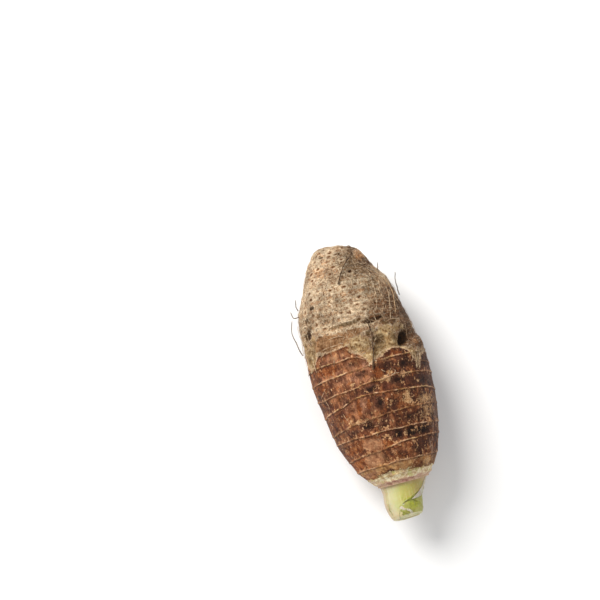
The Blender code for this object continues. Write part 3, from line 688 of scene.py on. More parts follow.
def grid_faces(rows, columns, closed=True):
    """Quads of a grid of rows, with columns that meet round it."""
    i, j = np.meshgrid(np.arange(rows - 1), np.arange(columns if closed else columns - 1), indexing="ij")
    k = (j + 1) % columns
    quads = np.stack([i * columns + j, i * columns + k, (i + 1) * columns + k, (i + 1) * columns + j], -1)
    return quads.reshape(-1, 4)[:, ::-1]


def store(mesh, name, *fields):
    """Up to three numbers a point, for a material to read."""
    n = len(mesh.vertices)
    data = np.zeros((n, 3), np.float32)
    for c, values in enumerate(fields):
        data[:, c] = values
    mesh.attributes.new(name, "FLOAT_VECTOR", "POINT").data.foreach_set("vector", data.ravel())


def uv_round(mesh, rows, columns, turn, run):
    """A map of the skin, opened along its underside, for finishes that need one."""
    layer = mesh.uv_layers.new(name="OFBake")
    loops = np.empty(len(mesh.loops), np.int32)
    mesh.loops.foreach_get("vertex_index", loops)
    row, column = loops // columns, loops % columns
    u = turn[np.minimum(column, columns - 1)]
    # A face across the seam takes its far side from one turn further on.
    starts = np.empty(len(mesh.polygons), np.int32)
    totals = np.empty(len(mesh.polygons), np.int32)
    mesh.polygons.foreach_get("loop_start", starts)
    mesh.polygons.foreach_get("loop_total", totals)
    face_of = np.repeat(np.arange(len(starts)), totals)
    has_last = np.zeros(len(starts), bool)
    np.logical_or.at(has_last, face_of, column == columns - 1)
    u = np.where(has_last[face_of] & (column == 0), 1.0, u)
    v = run[np.minimum(row, rows - 1)]
    uv = np.stack([0.004 + 0.992 * u, 0.02 + 0.96 * v], -1).astype(np.float32)
    layer.data.foreach_set("uv", uv.ravel())


def make_corm():
    top = np.linspace(-4, 184, COLUMNS_TOP, endpoint=False)
    under = np.linspace(184, 356, COLUMNS_UNDER, endpoint=False)
    degrees = np.concatenate([top, under])
    start = int(np.argmin(np.abs(degrees - 270)))
    degrees = np.concatenate([degrees[start:] - 360, degrees[:start]])
    turn = np.radians(degrees)
    columns = len(turn)
    rows_s = profile_rows(ROWS)
    s = np.repeat(rows_s, columns)
    angle = np.tile(turn, ROWS)
    base = corm_points(s, angle, pressed=False)
    fields = corm_fields(s, angle, base)
    relief, pit_shade = corm_relief(s, angle, base, fields)
    grid = base.reshape(ROWS, columns, 3)
    across = np.roll(grid, -1, axis=1) - np.roll(grid, 1, axis=1)
    down = np.gradient(grid, axis=0)
    normal = unit(np.cross(down, across))
    middle = np.array([0.0, 0.0, AXIS_HEIGHT])
    outward = (grid - middle) * np.array([1, 0, 1])
    flip = np.sign((normal * outward).sum(-1, keepdims=True))
    normal = normal * np.where(flip == 0, 1, flip)
    tip = eased(s, 198.6, 197.6)
    ends = eased(s, 32.2, 33.6)
    points = base + (relief * (0.25 + 0.75 * tip) * ends)[:, None] * normal.reshape(-1, 3)
    points[:, 2] = rest_flat(points[:, 2])
    # Close both ends with a point.
    first = np.array([(CORM[0][1] + CORM[0][2]) / 2, CORM[0][0], AXIS_HEIGHT])
    last = np.array([ROOT_TIP[1], ROOT_TIP[0] + 0.05, AXIS_HEIGHT])
    points = np.concatenate([points, [first, last]])
    faces = [tuple(q) for q in grid_faces(ROWS, columns).tolist()]
    n = ROWS * columns
    for j in range(columns):
        k = (j + 1) % columns
        faces.append((n, j, k))
        faces.append((n + 1, n - columns + k, n - columns + j))
    made = mesh_object("corm_skin", points, faces)
    mesh = made.data

    def full(values):
        return np.concatenate([values, [values[0], values[-1]]])

    f = {key: full(values) for key, values in fields.items()}
    pit_shade = full(pit_shade)
    store(mesh, "tr_edge", f["zone"], f["ring"], f["share"])
    store(mesh, "tr_ring", f["clear"], f["hem"], f["over"])
    store(mesh, "tr_row", f["row"], f["deep"], f["golden"])
    store(mesh, "tr_skin", f["dark"], f["orange"], f["light"])
    store(mesh, "tr_more", f["beige"], f["tan_dark"], f["red_skin_and_shade"])
    store(mesh, "tr_bare", f["tan_light"], f["tan_orange"], f["grey_patch_and_sheen"])
    store(mesh, "tr_torn", f["flesh"], f["olive"], f["remnant"])
    store(mesh, "tr_pits", pit_shade, f["dots"], f["bare"])
    store(mesh, "tr_haze", f["dusty"])
    run = (rows_s - rows_s[0]) / (rows_s[-1] - rows_s[0])
    u = (degrees - degrees[0]) / 360.0
    uv_round(mesh, ROWS, columns, u, run)
    made.data.materials.append(corm_material())
    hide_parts("corm")
    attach(made, "root")
    return made


# ---------------------------------------------------------------- materials
def linear(r, g, b):
    """Linear light from 0 to 255 screen values."""
    out = []
    for v in (r, g, b):
        v = v / 255
        out.append(v / 12.92 if v <= 0.04045 else ((v + 0.055) / 1.055) ** 2.4)
    return out


GAIN = 0.80  # the light's strength on a face that looks up: screen colour to surface colour


def tone(r, g, b):
    return tuple(min(v * GAIN, 0.95) for v in linear(r, g, b)) + (1.0,)


class Nodes:
    """A node tree written as sums: each call adds a node and gives its output."""

    def __init__(self, name):
        self.material = bpy.data.materials.new(name)
        self.material.use_nodes = True
        self.tree = self.material.node_tree
        self.tree.nodes.clear()
        self.out = self.tree.nodes.new("ShaderNodeOutputMaterial")
        self.shader = self.tree.nodes.new("ShaderNodeBsdfPrincipled")
        self.tree.links.new(self.shader.outputs[0], self.out.inputs[0])
        self.count = 0

    def new(self, kind, **settings):
        made = self.tree.nodes.new(kind)
        self.count += 1
        made.location = (-220 * (self.count % 40), -180 * (self.count // 40))
        for key, value in settings.items():
            setattr(made, key, value)
        return made

    def put(self, socket, value):
        if isinstance(value, bpy.types.NodeSocket):
            self.tree.links.new(value, socket)
        else:
            socket.default_value = value

    def math(self, kind, a, b=0.0, c=None, clamp=False):
        made = self.new("ShaderNodeMath", operation=kind, use_clamp=clamp)
        self.put(made.inputs[0], a)
        self.put(made.inputs[1], b)
        if c is not None:
            self.put(made.inputs[2], c)
        return made.outputs[0]

    def add(self, *values):
        total = values[0]
        for value in values[1:]:
            total = self.math("ADD", total, value)
        return total

    def mul(self, *values):
        total = values[0]
        for value in values[1:]:
            total = self.math("MULTIPLY", total, value)
        return total

    def smooth(self, value, low, high, to_low=0.0, to_high=1.0):
        made = self.new("ShaderNodeMapRange", interpolation_type="SMOOTHSTEP")
        self.put(made.inputs[0], value)
        made.inputs[1].default_value, made.inputs[2].default_value = low, high
        made.inputs[3].default_value, made.inputs[4].default_value = to_low, to_high
        return made.outputs[0]

    def mix(self, share, a, b, blend="MIX"):
        made = self.new("ShaderNodeMix", data_type="RGBA", blend_type=blend, clamp_factor=True)
        self.put(made.inputs[0], share)
        self.put(made.inputs[6], a)
        self.put(made.inputs[7], b)
        return made.outputs[2]

    def ramp(self, value, stops, smooth=False):
        made = self.new("ShaderNodeValToRGB")
        ramp = made.color_ramp
        ramp.interpolation = "EASE" if smooth else "LINEAR"
        ramp.elements[0].position, ramp.elements[0].color = stops[0]
        ramp.elements[1].position, ramp.elements[1].color = stops[-1]
        for position, colour in stops[1:-1]:
            ramp.elements.new(position).color = colour
        self.put(made.inputs[0], value)
        return made.outputs[0]

    def place(self, scale=(1, 1, 1), shift=(0, 0, 0)):
        """Millimetres along the object's own axes, stretched by scale."""
        if not hasattr(self, "_object"):
            self._object = self.new("ShaderNodeTexCoord").outputs["Object"]
        made = self.new("ShaderNodeMapping")
        self.tree.links.new(self._object, made.inputs[0])
        made.inputs[1].default_value = shift
        made.inputs[3].default_value = tuple(1000.0 * v for v in scale)
        return made.outputs[0]

    def noise(self, where, size, detail=3.0, rough=0.5, bend=0.0):
        made = self.new("ShaderNodeTexNoise", noise_dimensions="3D")
        self.put(made.inputs["Vector"], where)
        made.inputs["Scale"].default_value = 1.0 / size
        made.inputs["Detail"].default_value = detail
        made.inputs["Roughness"].default_value = rough
        made.inputs["Distortion"].default_value = bend
        return made.outputs[0]

    def cells(self, where, size, feature="F1", random=1.0):
        made = self.new("ShaderNodeTexVoronoi", feature=feature)
        self.put(made.inputs["Vector"], where)
        made.inputs["Scale"].default_value = 1.0 / size
        made.inputs["Randomness"].default_value = random
        return made

    def read(self, name):
        made = self.new("ShaderNodeAttribute", attribute_name=name)
        parts = self.new("ShaderNodeSeparateXYZ")
        self.tree.links.new(made.outputs["Vector"], parts.inputs[0])
        return parts.outputs[0], parts.outputs[1], parts.outputs[2]

    def bump(self, height, depth, strength=1.0, onto=None):
        made = self.new("ShaderNodeBump")
        made.inputs["Strength"].default_value = strength
        made.inputs["Distance"].default_value = depth
        self.put(made.inputs["Height"], height)
        if onto is not None:
            self.tree.links.new(onto, made.inputs["Normal"])
        return made.outputs[0]

    def finish(self, colour, rough, normal=None, specular=0.35, **more):
        self.put(self.shader.inputs["Base Color"], colour)
        self.put(self.shader.inputs["Roughness"], rough)
        self.shader.inputs["Specular IOR Level"].default_value = specular
        for key, value in more.items():
            self.shader.inputs[key.replace("_", " ")].default_value = value
        if normal is not None:
            self.tree.links.new(normal, self.shader.inputs["Normal"])
        return self.material


def lines_of(n, noise, width, soft):
    """Thin wandering lines where a noise crosses its middle."""
    away = n.math("ABSOLUTE", n.math("SUBTRACT", noise, 0.5))
    return n.smooth(away, width + soft, width)


def leaf_base_tone(n):
    """Cream, faintly green and pink tissue of the trimmed leaf bases."""
    mm = n.place()
    soft = n.noise(mm, 3.4, 4.0, 0.6)
    small = n.noise(mm, 1.0, 3.0, 0.6)
    colour = n.ramp(
        n.add(n.mul(soft, 0.55), n.mul(small, 0.45)),
        (
            (0.35, tone(154, 116, 76)),
            (0.44, tone(198, 166, 122)),
            (0.51, tone(224, 202, 158)),
            (0.60, tone(246, 236, 202)),
        ),
    )
    green = n.smooth(n.noise(mm, 5.0, 2.0, 0.5), 0.55, 0.63)
    colour = n.mix(n.mul(green, 0.6), colour, tone(184, 178, 96))
    pink = n.smooth(n.noise(n.place((1, 1, 1), (31, 7, 3)), 4.2, 2.0, 0.5, 0.4), 0.55, 0.64)
    return n.mix(n.mul(pink, 0.6), colour, tone(196, 150, 130)), soft, small


def corm_material():
    n = Nodes("taro_skin")
    zone, ring, share = n.read("tr_edge")
    clear, hem, over = n.read("tr_ring")
    dark, orange, light = n.read("tr_skin")
    beige, tan_dark, red_skin_and_shade = n.read("tr_more")
    tan_light, tan_orange, grey_patch_and_sheen = n.read("tr_bare")
    flesh, olive, remnant = n.read("tr_torn")
    pit_shade, dots, bare = n.read("tr_pits")
    row, deep, golden = n.read("tr_row")
    dusty, _, _ = n.read("tr_haze")

    mm = n.place()
    fibre = n.place((1.0, 0.13, 1.0))
    hoop = n.place((0.24, 1.0, 0.24))
    big = n.noise(mm, 13.0, 4.0, 0.55, 0.6)
    mid = n.noise(mm, 4.2, 4.0, 0.6, 0.4)
    mid2 = n.noise(n.place((1, 1, 1), (17, 5, 9)), 3.0, 3.0, 0.6, 0.5)
    small = n.noise(mm, 1.3, 3.0, 0.6)
    grain = n.noise(mm, 0.55, 2.0, 0.6)
    strands = n.noise(fibre, 0.9, 3.0, 0.6, 0.3)
    strands2 = n.noise(fibre, 2.6, 3.0, 0.6, 0.5)
    hoops = n.noise(hoop, 0.9, 3.0, 0.6, 0.3)

    def stir(a, b):
        return n.add(n.mul(n.math("SUBTRACT", mid, 0.5), a), n.mul(n.math("SUBTRACT", small, 0.5), b))

    def patch(field, a=1.6, b=1.1, low=0.42, high=0.56):
        """A patch with a ragged edge where its field passes a half."""
        return n.smooth(n.add(field, stir(a, b)), low, high)

    # ---- brown skin
    # The brown's tone is lowered on the right side by deep: painted shade.
    shade = n.add(n.mul(big, 0.35), n.mul(mid, 0.30), n.mul(strands2, 0.35), n.mul(n.math("SUBTRACT", 0.45, deep), 0.12))
    brown = n.ramp(
        shade,
        (
            (0.37, tone(58, 31, 22)),
            (0.43, tone(82, 45, 31)),
            (0.49, tone(108, 64, 43)),
            (0.56, tone(132, 84, 57)),
            (0.66, tone(152, 102, 72)),
        ),
    )
    brown = n.mix(n.smooth(strands2, 0.545, 0.62, 0.0, 0.55), brown, tone(146, 88, 50))
    brown = n.mix(n.smooth(strands2, 0.45, 0.38, 0.0, 0.45), brown, tone(80, 46, 36))
    # Plum, mauve and rusty patches a few millimetres across, drawn out along the corm.
    cloud = n.noise(n.place((1.0, 0.62, 1.0), (3, 27, 11)), 6.5, 3.0, 0.5, 0.4)
    cloud2 = n.noise(n.place((1.0, 0.5, 1.0), (19, 4, 33)), 5.0, 3.0, 0.5, 0.4)
    brown = n.mix(n.mul(dusty, n.smooth(mid, 0.36, 0.6, 0.5, 0.9)), brown, tone(190, 142, 118))
    calmer = n.math("SUBTRACT", 1.0, n.mul(dusty, 0.6), clamp=True)
    brown = n.mix(n.mul(n.smooth(cloud, 0.53, 0.62, 0.0, 0.62), calmer), brown, tone(100, 64, 56))
    brown = n.mix(n.smooth(cloud, 0.47, 0.38, 0.0, 0.55), brown, tone(170, 116, 84))
    brown = n.mix(n.mul(n.smooth(cloud2, 0.53, 0.61, 0.0, 0.68), calmer), brown, tone(68, 39, 33))
    brown = n.mix(n.smooth(cloud2, 0.47, 0.38, 0.0, 0.6), brown, tone(158, 102, 66))
    brown = n.mix(n.mul(patch(orange, 0.9, 0.7, 0.40, 0.54), 0.9), brown, n.ramp(mid2, ((0.38, tone(104, 55, 27)), (0.50, tone(141, 81, 44)), (0.64, tone(174, 110, 66)))))
    brown = n.mix(n.smooth(n.add(orange, stir(0.8, 0.6)), 0.85, 1.05, 0.0, 0.75), brown, n.ramp(mid2, ((0.36, tone(146, 84, 40)), (0.5, tone(176, 108, 58)), (0.64, tone(204, 140, 86)))))
    brown = n.mix(n.mul(patch(light, 0.5, 0.4, 0.40, 0.52), 0.95), brown, n.ramp(mid2, ((0.36, tone(150, 103, 76)), (0.5, tone(174, 124, 92)), (0.66, tone(190, 144, 110)))))
    dark_tone = n.ramp(
        n.add(n.mul(mid2, 0.6), n.mul(small, 0.4)),
        ((0.38, tone(27, 15, 11)), (0.47, tone(42, 23, 16)), (0.55, tone(62, 35, 25)), (0.66, tone(92, 57, 42))),
    )
    bruise = n.ramp(mid2, ((0.38, tone(66, 40, 33)), (0.5, tone(92, 60, 51)), (0.64, tone(126, 90, 78))))
    brown = n.mix(n.mul(patch(dark, 1.3, 0.7, 0.34, 0.54), 0.85), brown, bruise)
    brown = n.mix(n.mul(n.smooth(n.add(dark, stir(1.8, 1.0)), 0.64, 0.86), 0.92), brown, dark_tone)
    lowest = n.mul(n.smooth(n.add(hem, stir(14.0, 6.0)), 8.5, 4.5), n.smooth(dark, 0.6, 0.3), n.smooth(n.add(orange, stir(1.4, 0.8)), 0.62, 0.4, 0.2, 1.0))
    brown = n.mix(n.mul(lowest, 0.7), brown, n.ramp(mid2, ((0.38, tone(146, 102, 60)), (0.5, tone(180, 136, 88)), (0.64, tone(202, 164, 116)))))
    # Dark mottling of the skin, with more of it on the side away from the light as painted shade.
    mottle_and_shade = n.smooth(n.add(mid2, n.mul(n.math("SUBTRACT", deep, 0.5), 0.13)), 0.525, 0.585)
    mottle_and_shade = n.mul(mottle_and_shade, n.math("SUBTRACT", 1.0, n.mul(patch(light, 0.5, 0.4), 0.8), clamp=True))
    mottle_and_shade = n.mul(mottle_and_shade, n.smooth(lowest, 1.0, 0.2, 0.25, 1.0), n.smooth(orange, 1.1, 0.5, 0.25, 1.0), calmer)
    brown = n.mix(n.mul(mottle_and_shade, 0.7), brown, n.ramp(small, ((0.36, tone(46, 28, 23)), (0.5, tone(66, 40, 32)), (0.62, tone(94, 58, 44)))))
    blackish = n.smooth(n.add(dark, n.mul(n.math("SUBTRACT", mid2, 0.5), 1.4)), 0.84, 1.04)
    brown = n.mix(n.mul(blackish, 0.92), brown, tone(30, 20, 18))
    crumb = n.smooth(n.add(beige, stir(2.0, 2.4)), 0.49, 0.66)
    brown = n.mix(n.mul(crumb, 0.94), brown, n.ramp(n.add(n.mul(grain, 0.6), n.mul(mid2, 0.4)), ((0.36, tone(150, 108, 72)), (0.5, tone(190, 150, 110)), (0.64, tone(222, 188, 154)))))
    # Fine threads along the corm, and short wrinkles across it; fewer of them low down.
    quiet = n.smooth(hem, 14.0, 60.0, 0.58, 1.0)
    smooth_skin = n.smooth(n.math("MAXIMUM", light, n.mul(orange, 0.8)), 0.75, 0.4, 0.22, 1.0)
    brown = n.mix(n.mul(n.smooth(strands, 0.56, 0.74, 0.0, 0.34), smooth_skin, quiet), brown, tone(168, 118, 80))
    brown = n.mix(n.mul(n.smooth(strands, 0.46, 0.31, 0.0, 0.62), smooth_skin, quiet), brown, tone(62, 34, 25))
    # Golden crumbs of dry scale, thickest by the leaf scars and low down, and dark specks.
    dry = n.noise(n.place((1.0, 0.7, 1.0)), 2.1, 2.0, 0.62)
    where = n.add(dry, n.mul(n.smooth(n.math("ABSOLUTE", ring), 2.4, 0.4), 0.03), n.mul(golden, 0.045), n.mul(n.math("SUBTRACT", mid, 0.5), 0.25))
    gold = n.mul(n.smooth(where, 0.622, 0.672), smooth_skin)
    brown = n.mix(n.mul(gold, 0.82), brown, n.ramp(grain, ((0.36, tone(164, 114, 74)), (0.52, tone(194, 146, 106)), (0.66, tone(222, 184, 146)))))
    speck = n.mul(n.smooth(n.noise(n.place((1, 0.8, 1), (3, 11, 23)), 1.5, 2.0, 0.6), 0.43, 0.37), smooth_skin)
    brown = n.mix(n.mul(speck, calmer, quiet, 0.55), brown, tone(48, 28, 22))
    flecks = n.cells(n.place((1.0, 0.62, 1.0)), 4.0)
    fleck = n.mul(n.smooth(flecks.outputs["Distance"], 0.18, 0.08), n.smooth(n.noise(mm, 9.0, 2.0), 0.50, 0.58))
    brown = n.mix(n.mul(fleck, 0.8), brown, tone(218, 176, 142))
    # Softer light and dark streaks a few millimetres wide, where no dark patch lies.
    drift = n.noise(n.place((1.0, 0.55, 1.0), (23, 9, 14)), 3.6, 3.0, 0.55, 0.5)
    brown = n.mix(n.mul(n.smooth(dark, 0.75, 0.3, 0.1, 0.85), n.math("MULTIPLY_ADD", smooth_skin, 0.55, 0.45)), brown, n.ramp(drift, ((0.38, (0.68, 0.61, 0.58, 1)), (0.49, (1.06, 1.05, 1.02, 1)), (0.60, (1.42, 1.39, 1.31, 1)))), "MULTIPLY")
    # Leaf scars: a pale broken thread, with painted shade in the groove on its shoot side.
    wander = n.add(ring, n.mul(n.math("SUBTRACT", small, 0.5), 1.7), n.mul(n.math("SUBTRACT", mid, 0.5), 1.4))
    worn = n.smooth(n.noise(mm, 3.0, 3.0, 0.65), 0.38, 0.52, 0.25, 1.0)
    thread = n.mul(n.smooth(n.math("ABSOLUTE", wander), 0.62, 0.16), clear, worn)
    groove_shade = n.mul(n.smooth(n.math("ABSOLUTE", n.add(wander, 0.95)), 0.8, 0.2), clear)
    brown = n.mix(n.mul(groove_shade, 0.42), brown, tone(66, 38, 26))
    thread_tone = n.mix(
        n.smooth(n.noise(n.place((1, 1, 1), (2, 40, 6)), 12.0, 2.0), 0.50, 0.58),
        n.ramp(n.noise(mm, 6.0, 2.0), ((0.38, tone(172, 120, 86)), (0.5, tone(208, 158, 122)), (0.62, tone(234, 192, 158)))),
        n.ramp(n.noise(mm, 6.0, 2.0), ((0.38, tone(160, 110, 64)), (0.5, tone(198, 150, 98)), (0.62, tone(230, 190, 140)))),
    )
    brown = n.mix(n.mul(thread, 0.9), brown, thread_tone)
    # Grey streaks along the corm: a painted sheen in strips along the far right edge, and dry grey patches.
    streak = n.noise(n.place((1.0, 0.045, 1.0), (7, 0, 7)), 1.7, 3.0, 0.6)
    grey_streak_and_sheen = n.mul(n.smooth(n.add(grey_patch_and_sheen, stir(1.6, 1.0)), 0.30, 0.62), n.smooth(streak, 0.45, 0.60))
    brown = n.mix(n.mul(grey_streak_and_sheen, 0.54), brown, n.ramp(streak, ((0.44, tone(108, 78, 64)), (0.56, tone(146, 114, 98)), (0.66, tone(180, 150, 132)))))

    # ---- the bare root end
    pale = n.ramp(
        n.add(n.mul(mid, 0.35), n.mul(big, 0.2), n.mul(small, 0.45)),
        (
            (0.36, tone(126, 92, 64)),
            (0.44, tone(166, 132, 100)),
            (0.51, tone(197, 166, 130)),
            (0.58, tone(218, 191, 156)),
            (0.68, tone(240, 219, 188)),
        ),
    )
    crest = n.add(row, n.mul(n.math("SUBTRACT", small, 0.5), 3.4), n.mul(n.math("SUBTRACT", mid, 0.5), 3.0))
    pale = n.mix(n.smooth(crest, 0.1, -0.9, 0.0, 0.6), pale, n.ramp(mid2, ((0.4, tone(158, 108, 68)), (0.6, tone(200, 154, 110)))))
    pale = n.mix(n.smooth(crest, 0.5, 1.1, 0.0, 0.75), pale, tone(236, 212, 178))
    pale = n.mix(n.mul(patch(grey_patch_and_sheen), 0.7), pale, n.ramp(small, ((0.38, tone(104, 86, 62)), (0.5, tone(146, 124, 96)), (0.62, tone(182, 162, 132)))))
    pale = n.mix(n.mul(patch(tan_orange), 0.66), pale, n.ramp(mid2, ((0.36, tone(150, 92, 50)), (0.5, tone(186, 128, 82)), (0.64, tone(214, 164, 118)))))
    pale = n.mix(n.mul(patch(tan_light), 0.68), pale, n.ramp(small, ((0.36, tone(180, 146, 112)), (0.48, tone(212, 182, 146)), (0.62, tone(240, 220, 190)))))
    pale = n.mix(n.mul(patch(tan_dark, 2.2, 1.6), 0.85), pale, n.ramp(n.add(n.mul(small, 0.6), n.mul(mid2, 0.4)), ((0.36, tone(46, 31, 19)), (0.46, tone(86, 61, 39)), (0.54, tone(122, 92, 61)), (0.66, tone(166, 133, 95)))))
    pale = n.mix(n.mul(n.smooth(n.add(tan_orange, stir(2.0, 1.4)), 0.82, 1.08), 0.8), pale, n.ramp(small, ((0.36, tone(140, 86, 44)), (0.5, tone(186, 126, 74)), (0.62, tone(220, 164, 108)))))
    # Reddish brown skin, partly painted shade on the right side.
    red = n.ramp(n.add(n.mul(hoops, 0.7), n.mul(small, 0.3)), ((0.36, tone(44, 26, 15)), (0.44, tone(78, 48, 29)), (0.52, tone(110, 72, 45)), (0.60, tone(144, 100, 66)), (0.70, tone(180, 138, 98))))
    red_and_shade_where = patch(red_skin_and_shade, 1.4, 1.0, 0.30, 0.56)
    pale = n.mix(n.mul(red_and_shade_where, 0.94), pale, red)
    # Matted fibres: pale and dark hair-thin lines that run every way, more of them along and round.
    mat_a = lines_of(n, n.noise(n.place((1.0, 0.42, 1.0), (5, 0, 0)), 3.2, 2.0, 0.55, 1.2), 0.008, 0.018)
    mat_b = lines_of(n, n.noise(n.place((0.42, 1.0, 0.42), (0, 9, 0)), 3.0, 2.0, 0.55, 1.0), 0.008, 0.018)
    mat_c = lines_of(n, n.noise(n.place((1.0, 0.8, 1.0), (0, 0, 13)), 4.4, 3.0, 0.6, 1.4), 0.007, 0.014)
    clump = n.smooth(n.noise(mm, 7.0, 2.0), 0.42, 0.58)
    calm = n.math("SUBTRACT", 1.0, n.mul(red_and_shade_where, 0.6))
    pale = n.mix(n.mul(mat_c, 0.7), pale, tone(88, 60, 38))
    calm = n.mul(calm, n.smooth(tan_dark, 0.95, 0.5, 0.45, 1.0))
    pale = n.mix(n.mul(mat_a, n.math("MULTIPLY_ADD", clump, 0.5, 0.25), calm), pale, tone(242, 222, 192))
    pale = n.mix(n.mul(mat_b, n.math("MULTIPLY_ADD", clump, -0.4, 0.65), calm), pale, tone(240, 218, 186))
    pale = n.mix(n.smooth(small, 0.42, 0.32, 0.0, 0.5), pale, tone(104, 72, 46))
    pale = n.mix(n.mul(n.smooth(strands, 0.44, 0.30, 0.0, 0.6), n.math("MULTIPLY_ADD", clump, 0.7, 0.3)), pale, tone(98, 70, 46))
    pale = n.mix(n.smooth(strands, 0.58, 0.74, 0.0, 0.5), pale, tone(240, 220, 192))
    nick = n.noise(n.place((0.7, 1.0, 0.7), (8, 3, 1)), 1.15, 2.0, 0.6)
    pale = n.mix(n.mul(n.smooth(nick, 0.37, 0.30, 0.0, 0.58), calm), pale, tone(96, 66, 42))
    pale = n.mix(n.mul(n.smooth(nick, 0.575, 0.655, 0.0, 0.5), calm), pale, tone(248, 230, 204))
    # Root scars: a dark middle in a pale lid with a brown halo; the pale lid is partly a painted highlight on its
    # raised rim.
    scar = n.add(dots, n.mul(n.math("SUBTRACT", grain, 0.5), 1.0), n.mul(n.math("SUBTRACT", small, 0.5), 1.2))
    rim = n.mul(n.smooth(n.math("ABSOLUTE", n.math("SUBTRACT", scar, 1.75)), 0.8, 0.15), bare)
    pale = n.mix(n.mul(rim, 0.6), pale, tone(240, 216, 182))
    pale = n.mix(n.mul(n.smooth(scar, 1.5, 0.5), bare, 0.75), pale, tone(158, 106, 64))
    pale = n.mix(n.mul(n.smooth(scar, 1.0, 0.5), bare, 0.9), pale, tone(92, 60, 36))
    pale = n.mix(n.mul(thread, n.smooth(remnant, 0.6, 0.3), 0.6), pale, tone(214, 182, 142))
    # Painted shade in the groove beside each leaf scar.
    pale = n.mix(n.mul(groove_shade, 0.5), pale, tone(112, 76, 46))

    # Painted shade: the bare root end darker on its right side, away from the light.
    pale = n.mix(n.mul(deep, 0.4), pale, (0.84, 0.83, 0.81, 1), "MULTIPLY")

    # ---- what shows where the skin tore off
    meat = n.ramp(
        n.add(n.mul(mid, 0.38), n.mul(mid2, 0.27), n.mul(small, 0.35)),
        ((0.38, tone(92, 64, 36)), (0.45, tone(142, 108, 68)), (0.51, tone(184, 150, 104)), (0.57, tone(216, 188, 144)), (0.65, tone(240, 222, 188))),
    )
    pale = n.mix(n.mul(patch(flesh, 1.3, 0.8, 0.36, 0.56), 0.95), pale, meat)
    pale = n.mix(n.mul(patch(olive, 1.6, 1.1, 0.38, 0.62), 0.85), pale, n.ramp(small, ((0.36, tone(62, 46, 26)), (0.5, tone(98, 76, 48)), (0.64, tone(134, 108, 74)))))
    scrap = n.ramp(n.add(n.mul(mid2, 0.4), n.mul(strands, 0.3), n.mul(small, 0.3)), ((0.38, tone(112, 70, 38)), (0.47, tone(142, 98, 60)), (0.55, tone(168, 124, 84)), (0.66, tone(200, 160, 120))))
    pale = n.mix(n.mul(patch(remnant, 1.2, 0.8), 0.9), pale, scrap)
    pale = n.mix(n.smooth(small, 0.42, 0.32, 0.0, 0.5), pale, tone(98, 68, 40))

    # ---- joined at the torn edge
    torn = n.add(zone, stir(4.5, 3.5))
    gone = n.smooth(torn, -0.3, 0.3)
    colour = n.mix(gone, brown, pale)
    fringe = n.mul(n.smooth(n.math("ABSOLUTE", n.math("SUBTRACT", torn, 0.45)), 1.1, 0.2), n.smooth(n.noise(mm, 4.0, 3.0), 0.40, 0.52))
    colour = n.mix(n.mul(fringe, 0.85), colour, tone(222, 188, 152))
    lip = n.mul(n.smooth(n.math("ABSOLUTE", n.add(torn, 0.8)), 0.8, 0.1), n.smooth(n.noise(n.place((1, 1, 1), (9, 0, 0)), 5.0, 3.0), 0.44, 0.56))
    colour = n.mix(n.mul(lip, 0.7), colour, tone(70, 40, 25))
    # Painted shade in the pits, holes and cracks.
    colour = n.mix(n.smooth(n.add(pit_shade, n.mul(n.math("SUBTRACT", small, 0.5), 1.2)), 0.28, 0.75), colour, n.ramp(small, ((0.4, tone(30, 20, 12)), (0.65, tone(76, 54, 34)))))
    # The skin's ragged last edge over the leaf bases.
    cream, soft, _ = leaf_base_tone(n)
    skirt = n.smooth(n.add(hem, stir(6.0, 4.5)), -0.35, 0.25)
    colour = n.mix(skirt, cream, colour)
    colour = n.mix(n.mul(n.smooth(n.math("ABSOLUTE", n.add(hem, stir(6.0, 4.5), -0.6)), 0.8, 0.1), 0.4), colour, tone(112, 72, 42))
    wet = n.mul(gone, n.smooth(n.math("MAXIMUM", flesh, olive), 0.3, 0.7, 0.0, 0.4))
    grit = n.add(n.mul(gone, 0.18), n.mul(n.math("MAXIMUM", quiet, gone), 0.46))
    grit = n.mul(grit, n.math("SUBTRACT", 1.0, wet), n.math("MAXIMUM", gone, n.math("MULTIPLY_ADD", smooth_skin, 0.5, 0.5)))
    colour = n.mix(grit, colour, n.ramp(n.noise(mm, 0.8, 3.0, 0.7), ((0.3, (0.50, 0.48, 0.46, 1)), (0.5, (0.98, 0.98, 0.98, 1)), (0.72, (1.32, 1.29, 1.24, 1)))), "MULTIPLY")
    # Broad light and dark that runs across the finer markings.
    broad = n.noise(n.place((1, 1, 1), (41, 2, 8)), 9.0, 3.0, 0.55, 0.4)
    colour = n.mix(0.75, colour, n.ramp(broad, ((0.36, (0.58, 0.54, 0.50, 1)), (0.5, (1, 1, 1, 1)), (0.64, (1.28, 1.26, 1.22, 1)))), "MULTIPLY")

    # The dark parts are warmer than grey: less blue and green the darker they are.
    bright = n.new("ShaderNodeRGBToBW")
    n.put(bright.inputs[0], colour)
    colour = n.mix(n.smooth(bright.outputs[0], 0.15, 0.04), colour, (0.95, 0.84, 0.70, 1), "MULTIPLY")
    colour = n.mix(n.math("SUBTRACT", 1.0, gone), colour, (1.03, 1.0, 0.92, 1), "MULTIPLY")

    hairs = n.add(mat_a, mat_b, n.mul(mat_c, -0.6))
    relief = n.add(
        n.mul(strands, 0.7), n.mul(small, 1.0), n.mul(grain, 0.35), n.mul(hoops, 0.4), n.mul(thread, 0.5),
        n.mul(hairs, gone, 0.22), n.mul(gold, n.smooth(gone, 1.0, 0.0), 0.25),
    )
    normal = n.bump(relief, 0.0009, 0.95)
    rough = n.add(n.smooth(small, 0.3, 0.7, 0.48, 0.70), n.mul(gone, 0.14))
    return n.finish(colour, rough, normal, 0.12)


